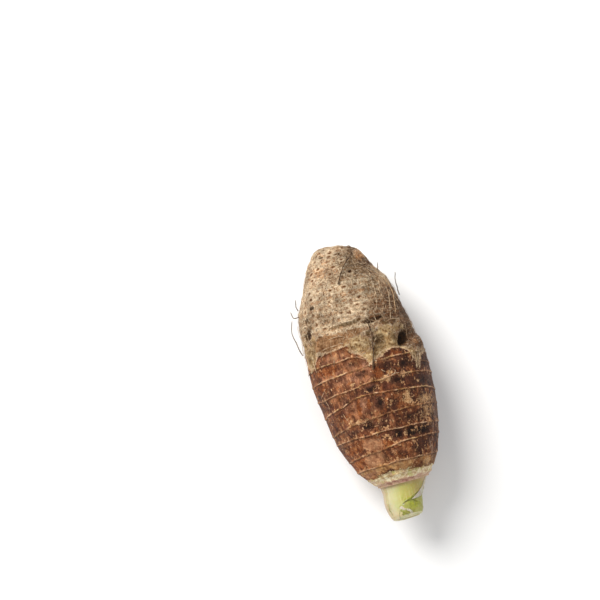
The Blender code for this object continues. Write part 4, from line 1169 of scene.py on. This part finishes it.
def stalk_material(name, kind):
    """Tissue of the cut stalk. Its points carry how far up the stub and round it they lie, whether
    they belong to the cut face, and the folds, creases and greener lobes that are seen on it."""
    n = Nodes(name)
    s, turn, face = n.read("tr_stub")
    fold, crease, green = n.read("tr_fold")
    mm = n.place()
    veins = n.noise(n.place((1.0, 0.06, 1.0)), 0.9, 2.0, 0.5)
    soft = n.noise(mm, 6.0, 2.0, 0.5)
    small = n.noise(mm, 1.2, 3.0, 0.6)
    if kind == "outer":
        around = n.math("MULTIPLY_ADD", turn, 1 / 140.0, -50 / 140.0, clamp=True)
        around = n.add(around, n.mul(n.math("SUBTRACT", soft, 0.5), 0.25))
        colour = n.ramp(
            around,
            (
                (0.05, tone(182, 164, 92)),
                (0.20, tone(188, 176, 88)),
                (0.36, tone(198, 192, 108)),
                (0.52, tone(208, 204, 146)),
                (0.66, tone(214, 206, 162)),
                (0.74, tone(196, 182, 134)),
                (0.79, tone(206, 184, 148)),
                (1.0, tone(200, 178, 148)),
            ),
        )
        colour = n.mix(n.mul(n.smooth(s, 8.0, 2.0), 0.7), colour, n.ramp(soft, ((0.4, tone(226, 206, 158)), (0.6, tone(230, 210, 176)))))
        colour = n.mix(n.mul(n.smooth(n.add(s, n.mul(soft, 3.0)), 24.2, 27.6), 0.75), colour, n.ramp(soft, ((0.42, tone(196, 164, 112)), (0.58, tone(204, 172, 140)))))
    elif kind == "inner":
        colour = n.ramp(soft, ((0.36, tone(150, 148, 62)), (0.5, tone(172, 170, 82)), (0.66, tone(190, 186, 106))))
        # Painted sheen: paler from the young leaf's right edge round to its underside.
        colour = n.mix(n.mul(n.smooth(n.add(turn, n.mul(soft, 20.0)), 34.0, 6.0), 0.6), colour, tone(192, 184, 134))
    else:
        colour = n.ramp(soft, ((0.36, tone(192, 178, 160)), (0.5, tone(206, 194, 180)), (0.66, tone(216, 206, 194))))
        colour = n.mix(n.mul(n.smooth(small, 0.50, 0.64), 0.45), colour, tone(186, 178, 126))
        colour = n.mix(n.smooth(veins, 0.53, 0.60, 0.0, 0.5), colour, tone(176, 158, 132))
        colour = n.mix(n.smooth(n.noise(mm, 2.6, 3.0), 0.54, 0.62, 0.0, 0.5), colour, tone(190, 164, 152))
        # Lower down it is greener, and its veins show.
        colour = n.mix(n.smooth(turn, 9.0, 1.0, 0.0, 0.8), colour, n.ramp(veins, ((0.40, tone(158, 152, 92)), (0.5, tone(192, 184, 134)), (0.62, tone(216, 208, 170)))))
        colour = n.mix(n.mul(n.smooth(s, 15.0, 25.0), 0.5), colour, tone(206, 178, 146))
    cut = n.cells(mm, 1.1, "F1")
    cut_tone = n.mix(n.smooth(cut.outputs["Distance"], 0.40, 0.14), tone(226, 216, 162), tone(190, 178, 112))
    cut_tone = n.mix(n.mul(n.smooth(soft, 0.5, 0.62), 0.6), cut_tone, tone(188, 186, 96))
    colour = n.mix(n.smooth(face, 0.4, 0.6), colour, cut_tone)
    colour = n.mix(n.mul(n.smooth(n.add(green, n.mul(n.math("SUBTRACT", small, 0.5), 0.6)), 0.25, 0.8), 0.85), colour, n.ramp(small, ((0.38, tone(136, 138, 30)), (0.6, tone(170, 174, 50)))))
    frayed = n.add(fold, n.mul(n.math("SUBTRACT", small, 0.5), 1.6), n.mul(n.math("SUBTRACT", n.noise(mm, 2.4, 3.0, 0.6), 0.5), 2.0))
    colour = n.mix(n.mul(n.smooth(frayed, 0.4, 0.85), n.smooth(fold, 0.08, 0.3), 0.85), colour, n.ramp(small, ((0.4, tone(204, 184, 168)), (0.6, tone(228, 216, 202)))))
    # Painted shade in the creases.
    colour = n.mix(n.mul(n.smooth(n.add(crease, n.mul(n.math("SUBTRACT", small, 0.5), 0.6)), 0.2, 1.0), 0.75), colour, tone(112, 108, 34))
    colour = n.mix(n.smooth(veins, 0.56, 0.74, 0.0, 0.22), colour, tone(236, 230, 184))
    colour = n.mix(n.smooth(veins, 0.44, 0.28, 0.0, 0.20), colour, tone(160, 152, 84))
    relief = n.add(n.mul(veins, 0.7), n.mul(small, 0.3))
    rough = n.smooth(small, 0.3, 0.7, 0.36, 0.52)
    return n.finish(colour, rough, n.bump(relief, 0.00025, 0.5), 0.4, Subsurface_Weight=0.12, Subsurface_Scale=0.004)


def collar_material():
    n = Nodes("leaf_base")
    s, turn, face = n.read("tr_stub")
    mm = n.place()
    hoops = n.noise(n.place((0.3, 1.0, 0.3)), 0.9, 3.0, 0.6)
    strands = n.noise(n.place((1.0, 0.2, 1.0)), 0.8, 3.0, 0.6)
    colour, soft, small = leaf_base_tone(n)
    # A blurred purple line where the stalk leaves it, which is clearest at the front.
    off = n.add(s, n.mul(n.math("SUBTRACT", soft, 0.5), 5.0), n.mul(n.math("SUBTRACT", small, 0.5), 2.0), -27.5)
    line = n.mul(n.smooth(n.math("ABSOLUTE", off), 1.9, 0.3), n.smooth(n.noise(mm, 4.0, 2.0), 0.36, 0.52, 0.35, 1.0))
    front = n.smooth(n.math("ABSOLUTE", n.add(turn, -101.0)), 60.0, 8.0, 0.35, 1.0)
    colour = n.mix(n.mul(n.smooth(off, 2.2, 0.6), 0.55), colour, tone(210, 172, 146))
    colour = n.mix(n.mul(line, front, 0.9), colour, n.ramp(n.noise(mm, 3.0, 3.0, 0.6), ((0.38, tone(196, 140, 124)), (0.5, tone(170, 108, 98)), (0.62, tone(134, 70, 64)))))
    colour = n.mix(n.smooth(strands, 0.57, 0.74, 0.0, 0.35), colour, tone(240, 226, 196))
    colour = n.mix(n.smooth(hoops, 0.44, 0.30, 0.0, 0.45), colour, tone(146, 110, 72))
    colour = n.mix(1.0, colour, (1.10, 1.09, 1.08, 1), "MULTIPLY")
    relief = n.add(n.mul(hoops, 0.8), n.mul(small, 0.5), n.mul(strands, 0.4))
    return n.finish(colour, 0.58, n.bump(relief, 0.0005, 0.8), 0.3)


def root_material(name, dark, pale):
    n = Nodes(name)
    mm = n.place()
    a = n.noise(mm, 2.2, 3.0, 0.6)
    colour = n.ramp(a, ((0.36, dark), (0.64, pale)))
    return n.finish(colour, 0.7, n.bump(n.noise(mm, 0.3, 2.0), 0.0002, 0.6), 0.15)


# ---------------------------------------------------------------- the stub
def at_stub(row, turn, inset):
    s, left, right, up, down = row
    middle, half = (left + right) / 2, (right - left) / 2
    deep = np.where(np.sin(turn) >= 0, up, down)
    return np.stack(
        [
            middle + (half - inset) * np.cos(turn),
            np.full(len(turn), s),
            AXIS_HEIGHT + (deep - inset) * np.sin(turn),
        ],
        -1,
    )


def sheath_edge(s):
    table = np.array(SHEATH_EDGE)
    return math.radians(float(np.interp(s, table[:, 0], table[:, 1])))


def cut_slant(points):
    """The stub's cut, which leans back on top: points near the end are drawn in to it."""
    high = points[:, 2] - AXIS_HEIGHT
    cut = 0.20 * np.clip(high + 9.0, 0, 22) + 0.035 * np.clip(points[:, 0] + 4, 0, 20)
    share = np.clip(1 - points[:, 1] / 24.0, 0, 1)
    moved = points.copy()
    moved[:, 1] = points[:, 1] + cut * share
    return moved


FOLDS = (
    (((406.4, 499.6), (403.6, 503.6), (401.4, 506.8)), 1.0), (((402.4, 508.4), (406.5, 509.0), (412.0, 511.4)), 1.3),
    (((401.0, 506.6), (400.0, 508.2), (402.6, 508.8)), 0.6), (((408.6, 509.6), (411.0, 512.4), (412.6, 513.6)), 0.8),
)
CREASES = (
    (((403.0, 503.4), (407.6, 500.6), (412.6, 499.4), (417.4, 501.2)), 1.0), (((399.8, 510.0), (399.6, 515.0), (400.8, 519.6)), 0.45),
    (((388.4, 504.0), (389.8, 510.0), (393.0, 515.6)), 0.5), (((404.0, 512.6), (409.0, 514.6)), 0.5),
)
LOBES = ((410.6, 499.0, 5.0, 2.2, 25, 1.15), (414.0, 503.6, 6.0, 4.0, 10, 1.05), (405.6, 500.4, 1.8, 2.6, -40, 0.9), (402.4, 498.0, 1.6, 8.0, -8, 0.55), (407.0, 515.0, 4.0, 1.6, 25, 0.5), (403.6, 513.4, 1.6, 1.4, 0, 0.6))


def stub_marks(points):
    """Folds, creases and green lobes on the side that is seen."""
    px, py = seen_at(points)
    px, py = px + 0.75 * rough_noise(points, 2.6, 91, 3), py + 0.75 * rough_noise(points, 2.6, 92, 3)
    top = eased(points[:, 2], AXIS_HEIGHT - 4, AXIS_HEIGHT + 1)
    fold, crease = np.zeros(len(px)), np.zeros(len(px))
    for line, wide in FOLDS:
        fold = np.maximum(fold, np.exp(-((to_line(px, py, line)[0] / wide) ** 2)))
    for line, wide in CREASES:
        crease = np.maximum(crease, np.exp(-((to_line(px, py, line)[0] / wide) ** 2)))
    return fold * top, crease * top, blobs(px, py, LOBES) * top


def raised(points, folds, creases, middle=(0.0, 0.0)):
    """Points moved out along the folds and in along the creases."""
    out = unit((points - np.array([0.0, 0.0, AXIS_HEIGHT])) * np.array([1.0, 0.0, 1.0]))
    return points + (0.35 * folds - 0.30 * creases)[:, None] * out


def make_outer_stalk():
    along, around, thick = 70, 150, 5
    rows = smooth_rows(STALK, np.linspace(0, 1, along))
    rows[:, 0] += np.linspace(0, 0.6, along)
    rings, marks = [], []
    for row in rows:
        s = row[0]
        first = sheath_edge(s) + 0.05 * math.sin(1.9 * s) * (1 if s < 21 else 0.3)
        first += 0.022 * math.sin(5.3 * s + 1.0) + 0.012 * math.sin(11.0 * s)
        turn = np.linspace(first, math.radians(SHEATH_BACK), around)
        share = np.sin(np.linspace(0, math.pi, around)) ** 0.6
        wall = 0.9 + 2.5 * share
        degrees = np.degrees(turn)
        # The outermost layer starts at the left border and stands a little proud.
        layer = 0.9 * eased(degrees, 147.0, 153.0) - 0.25 * np.exp(-(((degrees - 147.0) / 3.0) ** 2))
        layer += 1.0 * eased(degrees, 120, 170) * eased(degrees, 235, 190) * math.exp(-(((s - 12.0) / 7.0) ** 2))
        ribs = 0.05 * np.sin(turn * 26) + 0.03 * np.sin(turn * 57 + 1.0)
        lift = 0.25 * np.exp(-(((degrees - degrees[0]) / 7.0) ** 2))
        low = 0.35 * np.exp(-(((degrees - 104) / 16.0) ** 2)) * math.sin(min(s / 22, 1) * math.pi)
        outer = at_stub(row, turn, -(layer * 0.6 + ribs + lift) + low + 0.35)
        inner = at_stub(row, turn, wall)
        ring = [outer]
        for c in range(1, thick):
            ring.append((outer[-1] * (1 - c / thick) + inner[-1] * (c / thick))[None, :])
        ring.append(inner[::-1])
        for c in range(1, thick):
            ring.append((inner[0] * (1 - c / thick) + outer[0] * (c / thick))[None, :])
        ring = np.concatenate(ring)
        rings.append(ring)
        mark = np.zeros((len(ring), 3))
        mark[:, 0] = s
        mark[:around, 1] = degrees
        mark[around : around + thick - 1, 1] = degrees[-1]
        mark[around + thick - 1 : around + thick - 1 + around, 1] = degrees[::-1]
        mark[around + thick - 1 + around :, 1] = degrees[0]
        mark[:, 2] = 0
        marks.append(mark)
    points = np.concatenate(rings)
    columns = len(rings[0])
    faces = [tuple(q) for q in grid_faces(along, columns).tolist()]
    marks = np.concatenate(marks)
    # The cut face is its own fan of quads between outside and inside.
    levels = [rings[0][:around] * (1 - c / 4) + rings[0][around + thick - 1 : 2 * around + thick - 1][::-1] * (c / 4) for c in range(5)]
    base = len(points)
    cap = np.concatenate(levels)
    cap[:, 1] -= 0.0
    ridges = rough_noise(cap, 1.6, 88, 2)
    cap[around : 4 * around, 1] += 0.18 * ridges[around : 4 * around] + 0.15
    cap_marks = np.tile([0.0, 90.0, 1.0], (len(cap), 1))
    for r in range(4):
        for j in range(around - 1):
            faces.append((base + r * around + j, base + r * around + j + 1, base + (r + 1) * around + j + 1, base + (r + 1) * around + j))
    top = (along - 1) * columns
    for j in range(around - 1):
        q, w = 2 * around + thick - 2 - j, 2 * around + thick - 3 - j
        faces.append((top + j, top + q, top + w, top + j + 1))
    points = cut_slant(np.concatenate([points, cap]))
    marks = np.concatenate([marks, cap_marks])
    made = mesh_object("outer_leaf_stalk_skin", points, faces)
    made.data.set_sharp_from_angle(angle=math.radians(50))
    store(made.data, "tr_stub", marks[:, 0], marks[:, 1], marks[:, 2])
    fold, crease, green = stub_marks(points)
    store(made.data, "tr_fold", fold * 0.3, crease, green)
    made.data.materials.append(stalk_material("stalk_tissue", "outer"))
    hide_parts("outer_leaf_stalk")
    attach(made, "root")
    return made


def make_inner_leaf():
    along, around = 70, 160
    rows = smooth_rows(STALK, np.linspace(0, 1, along))
    rows[:, 0] += np.linspace(0.3, 0.5, along)
    turn = np.linspace(0, 2 * math.pi, around, endpoint=False)
    rings, marks = [], []
    for row in rows:
        s = row[0]
        edge, back = sheath_edge(s), math.radians(SHEATH_BACK) - 2 * math.pi
        middle, half = (edge + back) / 2, (edge - back) / 2
        beside = np.abs((turn - middle + math.pi) % (2 * math.pi) - math.pi)
        swell = eased(half + 0.30 - beside, 0.0, 0.20)
        cover = np.clip((beside - half) / (math.pi - half), 0, 1)  # from the sheath's edge to its thick back
        inset = (1.15 + 2.5 * np.sin(cover * math.pi / 2) ** 0.6) * (1 - swell) + 0.55 * swell
        # Folds of the rolled leaf, slanting round the stub.
        degrees = np.degrees((turn + math.pi) % (2 * math.pi) - math.pi)
        slant = degrees - (9.0 * (s - 4.0))
        fold = np.zeros(around)
        for place, width, height in ((30.0, 9.0, -0.35), (-8.0, 8.0, -0.3), (8.0, 6.0, 0.25)):
            fold += height * np.exp(-(((slant - place) / width) ** 2))
        ribs = 0.05 * np.sin(turn * 22 + 0.3 * s)
        rings.append(at_stub(row, turn, inset - (0.9 * fold + ribs) * swell))
        mark = np.zeros((around, 4))
        mark[:, 0], mark[:, 1], mark[:, 3] = s, degrees, fold * 1.3
        marks.append(mark)
    points = np.concatenate(rings)
    marks = np.concatenate(marks)
    faces = [tuple(q) for q in grid_faces(along, around).tolist()]
    # The cut end, in rings towards its middle.
    centre = rings[0].mean(axis=0)
    base = len(points)
    caps, cap_marks = [rings[0]], [np.tile([0, 90, 1, 0.0], (around, 1))]
    for c in range(1, 9):
        ring = rings[0] + (centre - rings[0]) * c / 9.0
        spiral = np.sin(c * 1.9 + turn * 1.0)
        ring[:, 1] += 0.16 * spiral
        caps.append(ring)
        cap_marks.append(np.tile([0, 90, 1, 0.0], (around, 1)))
    cap = np.concatenate(caps)
    for c in range(8):
        for j in range(around):
            k = (j + 1) % around
            faces.append((base + c * around + j, base + c * around + k, base + (c + 1) * around + k, base + (c + 1) * around + j))
    tail = base + len(cap)
    for j in range(around):
        k = (j + 1) % around
        faces.append((tail, base + 8 * around + j, base + 8 * around + k))
    top = (along - 1) * around
    end = tail + 1
    for j in range(around):
        k = (j + 1) % around
        faces.append((end, top + k, top + j))
    points = np.concatenate([points, cap, [centre], [rings[-1].mean(axis=0)]])
    marks = np.concatenate([marks, *cap_marks, [[0, 90, 1, 0.0]], [[26, 90, 0, 0.0]]])
    points = cut_slant(points)
    fold, crease, green = stub_marks(points)
    points = raised(points, fold, crease)
    made = mesh_object("inner_leaf_skin", points, faces)
    made.data.set_sharp_from_angle(angle=math.radians(50))
    store(made.data, "tr_stub", marks[:, 0], marks[:, 1], marks[:, 2])
    store(made.data, "tr_fold", fold, crease, green)
    made.data.materials.append(stalk_material("young_leaf_tissue", "inner"))
    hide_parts("inner_folded_leaf")
    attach(made, "root")
    return made


def make_margin():
    along, across = 50, 40
    rows = smooth_rows(STALK, np.linspace(0.575, 1, along))
    rings = []
    for row in rows:
        s = row[0]
        high = sheath_edge(s) + math.radians(4.0)
        share = np.clip((s - 13.0) / 9.0, 0, 1)
        low = high - math.radians(6 + 62 * share**0.3 + 3.0 * math.sin(1.7 * s) + 2.0 * math.sin(4.1 * s + 1.0))
        turn = np.linspace(low, high, across)
        t = np.linspace(0, 1, across)
        ripple = 0.30 * np.sin(t * 11 + s * 0.7) + 0.22 * np.sin(s * 1.5 + t * 6) + 0.12 * np.sin(t * 31 + 0.4 * s)
        under = 0.16 + 0.24 * eased(1 - t, 0.6, 1.0)
        outer = at_stub(row, turn, under + 0.10 + ripple * 0.4 * np.sin(t * math.pi))
        inner = at_stub(row, turn, under + 0.34 + ripple * 0.4 * np.sin(t * math.pi))
        rings.append(np.concatenate([outer, inner[::-1]]))
    points = np.concatenate(rings)
    columns = 2 * across
    faces = [tuple(q) for q in grid_faces(along, columns).tolist()]
    top = (along - 1) * columns
    for j in range(across - 1):
        q, w = columns - 1 - j, columns - 2 - j
        faces.append((j, j + 1, w, q))
        faces.append((top + j, top + q, top + w, top + j + 1))
    made = mesh_object("sheath_margin_film", points, faces)
    fold, crease, _ = stub_marks(points)
    store(made.data, "tr_stub", points[:, 1], points[:, 2] - AXIS_HEIGHT, np.zeros(len(points)))
    store(made.data, "tr_fold", fold, crease * 0.7, np.zeros(len(points)))
    made.data.materials.append(stalk_material("margin_film", "margin"))
    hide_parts("sheath_margin")
    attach(made, "root")
    return made


def make_collar():
    along, around = 46, 300
    rows = smooth_rows(COLLAR, np.linspace(0, 1, along))
    rows[:, 0] = np.linspace(25.9, 33.4, along)
    turn = np.linspace(0, 2 * math.pi, around, endpoint=False)
    s = np.repeat(rows[:, 0], around)
    rings = np.concatenate([at_stub(row, turn, 0.0) for row in rows])
    angle = np.tile(turn, along)
    share = np.repeat(np.linspace(0, 1, along), around)
    ragged = rough_noise(rings, 4.0, 51, 3)
    fine = rough_noise(rings * np.array([1, 0.4, 1]), 1.2, 52, 3)
    swell = 0.5 * np.sin(share * math.pi) + 0.45 * ragged * np.sin(share * math.pi) + 0.18 * fine
    # A groove where the purple line runs, and a lip that turns over the stalk.
    swell += -0.8 * np.exp(-(((s - 27.2) / 0.7) ** 2)) + 0.35 * np.exp(-(((s - 28.6 - 0.5 * ragged) / 0.8) ** 2))
    middle = np.array([(COLLAR[0][1] + COLLAR[0][2]) / 2, 0, AXIS_HEIGHT])
    outward = unit((rings - middle) * np.array([1, 0, 1]))
    swell += 1.3 * eased(s, 30.4, 32.6)
    points = rings + swell[:, None] * outward
    points[:, 1] = s + 0.35 * ragged * eased(share, 0.6, 1.0)
    faces = [tuple(q) for q in grid_faces(along, around).tolist()]
    base = len(points)
    first = points[:around]
    caps = [first + (np.array([2.0, 25.9, AXIS_HEIGHT]) - first) * c / 5.0 for c in (1, 2, 3)]
    for c, ring in enumerate(caps):
        ring[:, 1] = 25.9 - 0.25 * (c + 1) + 0.2 * rough_noise(ring, 2.0, 53, 2)
    points = np.concatenate([points, *caps, [[2.0, 25.2, AXIS_HEIGHT]], [[2.0, 33.4, AXIS_HEIGHT]]])
    previous = 0
    for c in range(3):
        start = base + c * around
        for j in range(around):
            k = (j + 1) % around
            faces.append((previous + j, previous + k, start + k, start + j))
        previous = start
    tail = base + 3 * around
    for j in range(around):
        k = (j + 1) % around
        faces.append((tail, previous + j, previous + k))
        top = (along - 1) * around
        faces.append((tail + 1, top + k, top + j))
    made = mesh_object("leaf_base_skin", points, faces)
    marks = np.zeros((len(points), 3))
    marks[: along * around, 0] = s
    marks[: along * around, 1] = np.degrees(angle)
    marks[along * around :, 0] = 25.6
    store(made.data, "tr_stub", marks[:, 0], marks[:, 1], marks[:, 2])
    made.data.materials.append(collar_material())
    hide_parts("leaf_base_collar")
    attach(made, "root")
    return made


# ---------------------------------------------------------------- threads
def tube(path, radii, sides=6):
    """Points and faces of a closed thin tube along a path."""
    path = np.asarray(path, float)
    ahead = unit(np.gradient(path, axis=0))
    side = unit(np.cross(ahead, np.array([0.31, 0.05, 0.95])))
    up = np.cross(side, ahead)
    turn = np.linspace(0, 2 * math.pi, sides, endpoint=False)
    rings = (
        path[:, None, :]
        + radii[:, None, None] * (np.cos(turn)[None, :, None] * side[:, None, :] + np.sin(turn)[None, :, None] * up[:, None, :])
    )
    points = np.concatenate([rings.reshape(-1, 3), path[:1], path[-1:]])
    rows = len(path)
    faces = [tuple(q) for q in grid_faces(rows, sides).tolist()]
    n = rows * sides
    for j in range(sides):
        k = (j + 1) % sides
        faces.append((n, j, k))
        faces.append((n + 1, n - sides + k, n - sides + j))
    return points, faces


def joined(tubes):
    points, faces, start = [], [], 0
    for p, f in tubes:
        points.append(p)
        faces += [tuple(i + start for i in face) for face in f]
        start += len(p)
    return np.concatenate(points), faces


def make_rootlets():
    pale = root_material("rootlet_pale", tone(120, 84, 56), tone(206, 172, 132))
    dark = root_material("rootlet_dark", tone(50, 36, 27), tone(116, 90, 66))
    for number, (name, width, route) in enumerate(ROOTLETS):
        path = smooth_rows(route, np.linspace(0, 1, 12 * len(route)))
        off = width / 2 + GAP + 0.1 + path[:, 2]
        if path[:, 2].max() < 1.5:  # these lie on the skin
            off = (0.95 if name == "rootlet_01" else 0.66) + 0.8 * path[:, 2]
        points = corm_points(path[:, 0], np.radians(path[:, 1]), off)
        t = np.linspace(0, 1, len(points))
        wobble = np.stack([rough_noise(points + 40 * number + 7 * c, 4.0, 60 + c, 2) for c in range(3)], -1)
        points = points + 0.42 * wobble * np.sin(t * math.pi)[:, None]
        radii = (0.24 + 0.12 * t + (0.10 if name in ("rootlet_01", "rootlet_08") else 0.0)) * (1 + 0.3 * rough_noise(points, 1.8, 64, 3))
        radii[:4] *= np.linspace(0.25, 1, 4)
        made = mesh_object(name + "_thread", *tube(points, radii, 8))
        made.data.materials.append(pale if name == "rootlet_02" else dark)
        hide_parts(name)
        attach(made, "root")


# Fine threads that lie on the skin, by the pixels along them.
THREADS_SEEN = (
    ((334, 295), (335, 303), (335, 310), (332.4, 318), (332, 328)),
    ((350, 303), (356, 308), (361, 313), (366, 318)),
    ((334.5, 357), (334.6, 361), (334.4, 366)),
    ((371, 352), (373, 345), (376, 337)),
    ((381, 369), (383, 371), (386, 371.4)),
    ((384, 378.5), (387, 375.6), (389.5, 371), (391.4, 367.6)),
    ((389, 381), (391, 376), (395, 373.4), (399, 372.6)),
    ((392.5, 369), (395, 370.6), (394, 373.6), (391, 374.5)),
    ((414.5, 352), (415.6, 360), (416, 368)),
    ((418.8, 350), (419.6, 360), (419.4, 371)),
    ((411, 350), (412.4, 356), (411.6, 362)),
    ((321, 400), (324, 394), (325.6, 389)),
    ((330.4, 413), (329.4, 407), (326.4, 402)),
    ((350, 423), (346, 418), (343.6, 414)),
    ((378, 437), (377.4, 433.6)),
    ((375, 290), (376.4, 300), (375.6, 311)),
    ((363, 268), (368, 272), (370, 281)),
    ((356, 262), (361, 264), (366, 263)),
    ((381, 293), (382.6, 304), (382, 313)),
    ((366, 306), (372, 313), (376, 321)),
    ((318.6, 294), (320.6, 298.4), (319, 304)),
    ((338, 253), (335.6, 256), (331, 257)),
    ((310, 366), (311, 372), (309.6, 377)),
    ((313, 362), (315.4, 368), (317.4, 374)),
    ((345, 300), (351, 303.6), (355, 309)),
    ((348, 306), (354, 305), (360, 307), (364, 311)),
    ((352, 311), (358, 308.4), (365, 309)),
    ((370, 284), (374, 288), (374.6, 295), (372, 301)),
    ((362, 280), (367, 284), (369, 291)),
    ((376, 276), (379, 284), (379.6, 293)),
    ((366, 274), (372, 275), (378, 279)),
    ((320, 306.5), (327, 306), (333, 309), (338, 309.6)),
    ((310, 288), (317, 286.6), (323, 284)),
    ((338, 318), (346, 316), (352, 318)),
    ((359, 268), (364, 266), (369, 268)),
    ((352, 277), (357, 274.5), (362, 275)),
    ((370, 297), (376, 295), (381, 296)),
    ((384, 300), (390, 301.4), (396, 300)),
    ((380, 309), (388, 308), (397, 309)),
    ((385, 322), (391, 319), (399, 318)),
    ((328, 340), (336, 337), (343, 336.6)),
    ((322, 351), (329, 347.4), (338, 345)),
    ((366, 336), (372, 341), (373.6, 348)),
    ((384, 349), (380, 353), (376, 358)),
    ((371.4, 271.5), (378, 276), (383.6, 282.5), (387.2, 290.5), (389.0, 300), (389.8, 311), (390, 319)),
    ((367, 268.6), (374, 273.6), (380, 280.4)),
    ((319.6, 284.4), (325, 280.6), (330.4, 280.4), (336, 283.4)),
    ((345, 276), (350, 279), (352, 285), (350, 291)),
    ((357, 279), (363, 276.4), (370, 278)),
)


def make_fibres():
    """Loose fibres on the skin: those that are seen, and finer ones all round."""
    tubes = []
    for n, line in enumerate(THREADS_SEEN):
        found = on_skin(line)
        path = smooth_rows(found, np.linspace(0, 1, 14))
        lift = 0.2 + 0.3 * np.sin(np.linspace(0, math.pi, 14))
        points = corm_points(path[:, 0], np.radians(path[:, 1]), lift)
        radii = np.full(14, 0.17 if line[0][1] < 372 else 0.13) * (1 + 0.3 * np.sin(np.arange(14) * 1.7 + n))
        radii[0] = radii[-1] = 0.06
        tubes.append(tube(points, radii, 5))
    for n in range(260):
        r = np.array([n])
        a, b, c, d, e = (float(chance(r, r + 1, r + 2, 200 + k)[0]) for k in range(5))
        s0 = 40 + 150 * a
        turn0 = 2 * math.pi * b
        if s0 < 118 and (n % 3 or math.sin(turn0) > 0.0):
            s0 = 128 + 60 * a
        long = 3.0 + 8.0 * c
        slope = (d - 0.5) * (0.5 if n % 4 else 2.2)
        t = np.linspace(0, 1, 10)
        s = s0 + long * (t - 0.5)
        half = 36.0 * math.sqrt(max(1 - ((s0 - 105) / 100) ** 2, 0.08))
        angle = turn0 + slope * long * (t - 0.5) / half + 0.02 * np.sin(t * 5 + 9 * e)
        points = corm_points(s, angle, 0.05 + 0.5 * (e**2) * np.sin(t * math.pi), pressed=False)
        if points[:, 2].min() < 1.2 or s.max() > 197:
            continue
        radii = (0.07 + 0.07 * d) * np.sin(0.15 + 0.85 * t * math.pi) ** 0.4
        radii = np.maximum(np.nan_to_num(radii), 0.03)
        tubes.append(tube(points, radii, 4))
    made = mesh_object("loose_fibres", *joined(tubes))
    made.data.materials.append(root_material("loose_fibre", tone(150, 110, 74), tone(232, 206, 170)))
    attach(made, "root")
    return made


# ---------------------------------------------------------------- stage
def make_stage():
    mesh = bpy.data.meshes.new("floor")
    e = 6.0
    mesh.from_pydata([(-e, -e, 0), (e, -e, 0), (e, e, 0), (-e, e, 0)], [], [(0, 1, 2, 3)])
    floor = bpy.data.objects.new("floor", mesh)
    bpy.context.scene.collection.objects.link(floor)
    n = Nodes("floor_paper")
    floor.data.materials.append(n.finish((0.86, 0.86, 0.86, 1), 0.85, None, 0.1))
    world = bpy.data.worlds.new("studio")
    bpy.context.scene.world = world
    world.use_nodes = True
    world.node_tree.nodes["Background"].inputs[0].default_value = (1.0, 1.0, 1.0, 1)
    world.node_tree.nodes["Background"].inputs[1].default_value = 0.56

    def area(name, where, size, power, colour=(1, 1, 1)):
        data = bpy.data.lights.new(name, "AREA")
        data.shape, data.size, data.energy, data.color = "DISK", size, power, colour
        made = bpy.data.objects.new(name, data)
        made.location = where
        direction = -np.array(where, float)
        from mathutils import Vector

        made.rotation_mode = "QUATERNION"
        made.rotation_quaternion = Vector(direction).to_track_quat("-Z", "Y")
        bpy.context.scene.collection.objects.link(made)

    area("key", (-0.60, 0.95, 1.22), 0.95, 31.0, (1.0, 0.985, 0.96))
    area("fill", (0.6, -0.9, 1.5), 1.2, 5.0, (0.97, 0.985, 1.0))


def make_camera():
    data = bpy.data.cameras.new("camera")
    data.lens, data.sensor_width = LENS, SENSOR
    data.clip_start, data.clip_end = 0.05, 40
    camera = bpy.data.objects.new("camera", data)
    from mathutils import Matrix

    x, y, z = placed(EYE)
    camera.matrix_world = Matrix(
        (
            (RIGHT[0], UP[0], BACK[0], x),
            (RIGHT[1], UP[1], BACK[1], y),
            (RIGHT[2], UP[2], BACK[2], z),
            (0, 0, 0, 1),
        )
    )
    bpy.context.scene.collection.objects.link(camera)
    bpy.context.scene.camera = camera


make_camera()
make_corm()
make_collar()
make_outer_stalk()
make_inner_leaf()
make_margin()
make_rootlets()
make_fibres()
make_stage()
bpy.context.scene.view_settings.view_transform = "Standard"
bpy.context.scene.view_settings.look = "None"
bpy.context.view_layer.update()
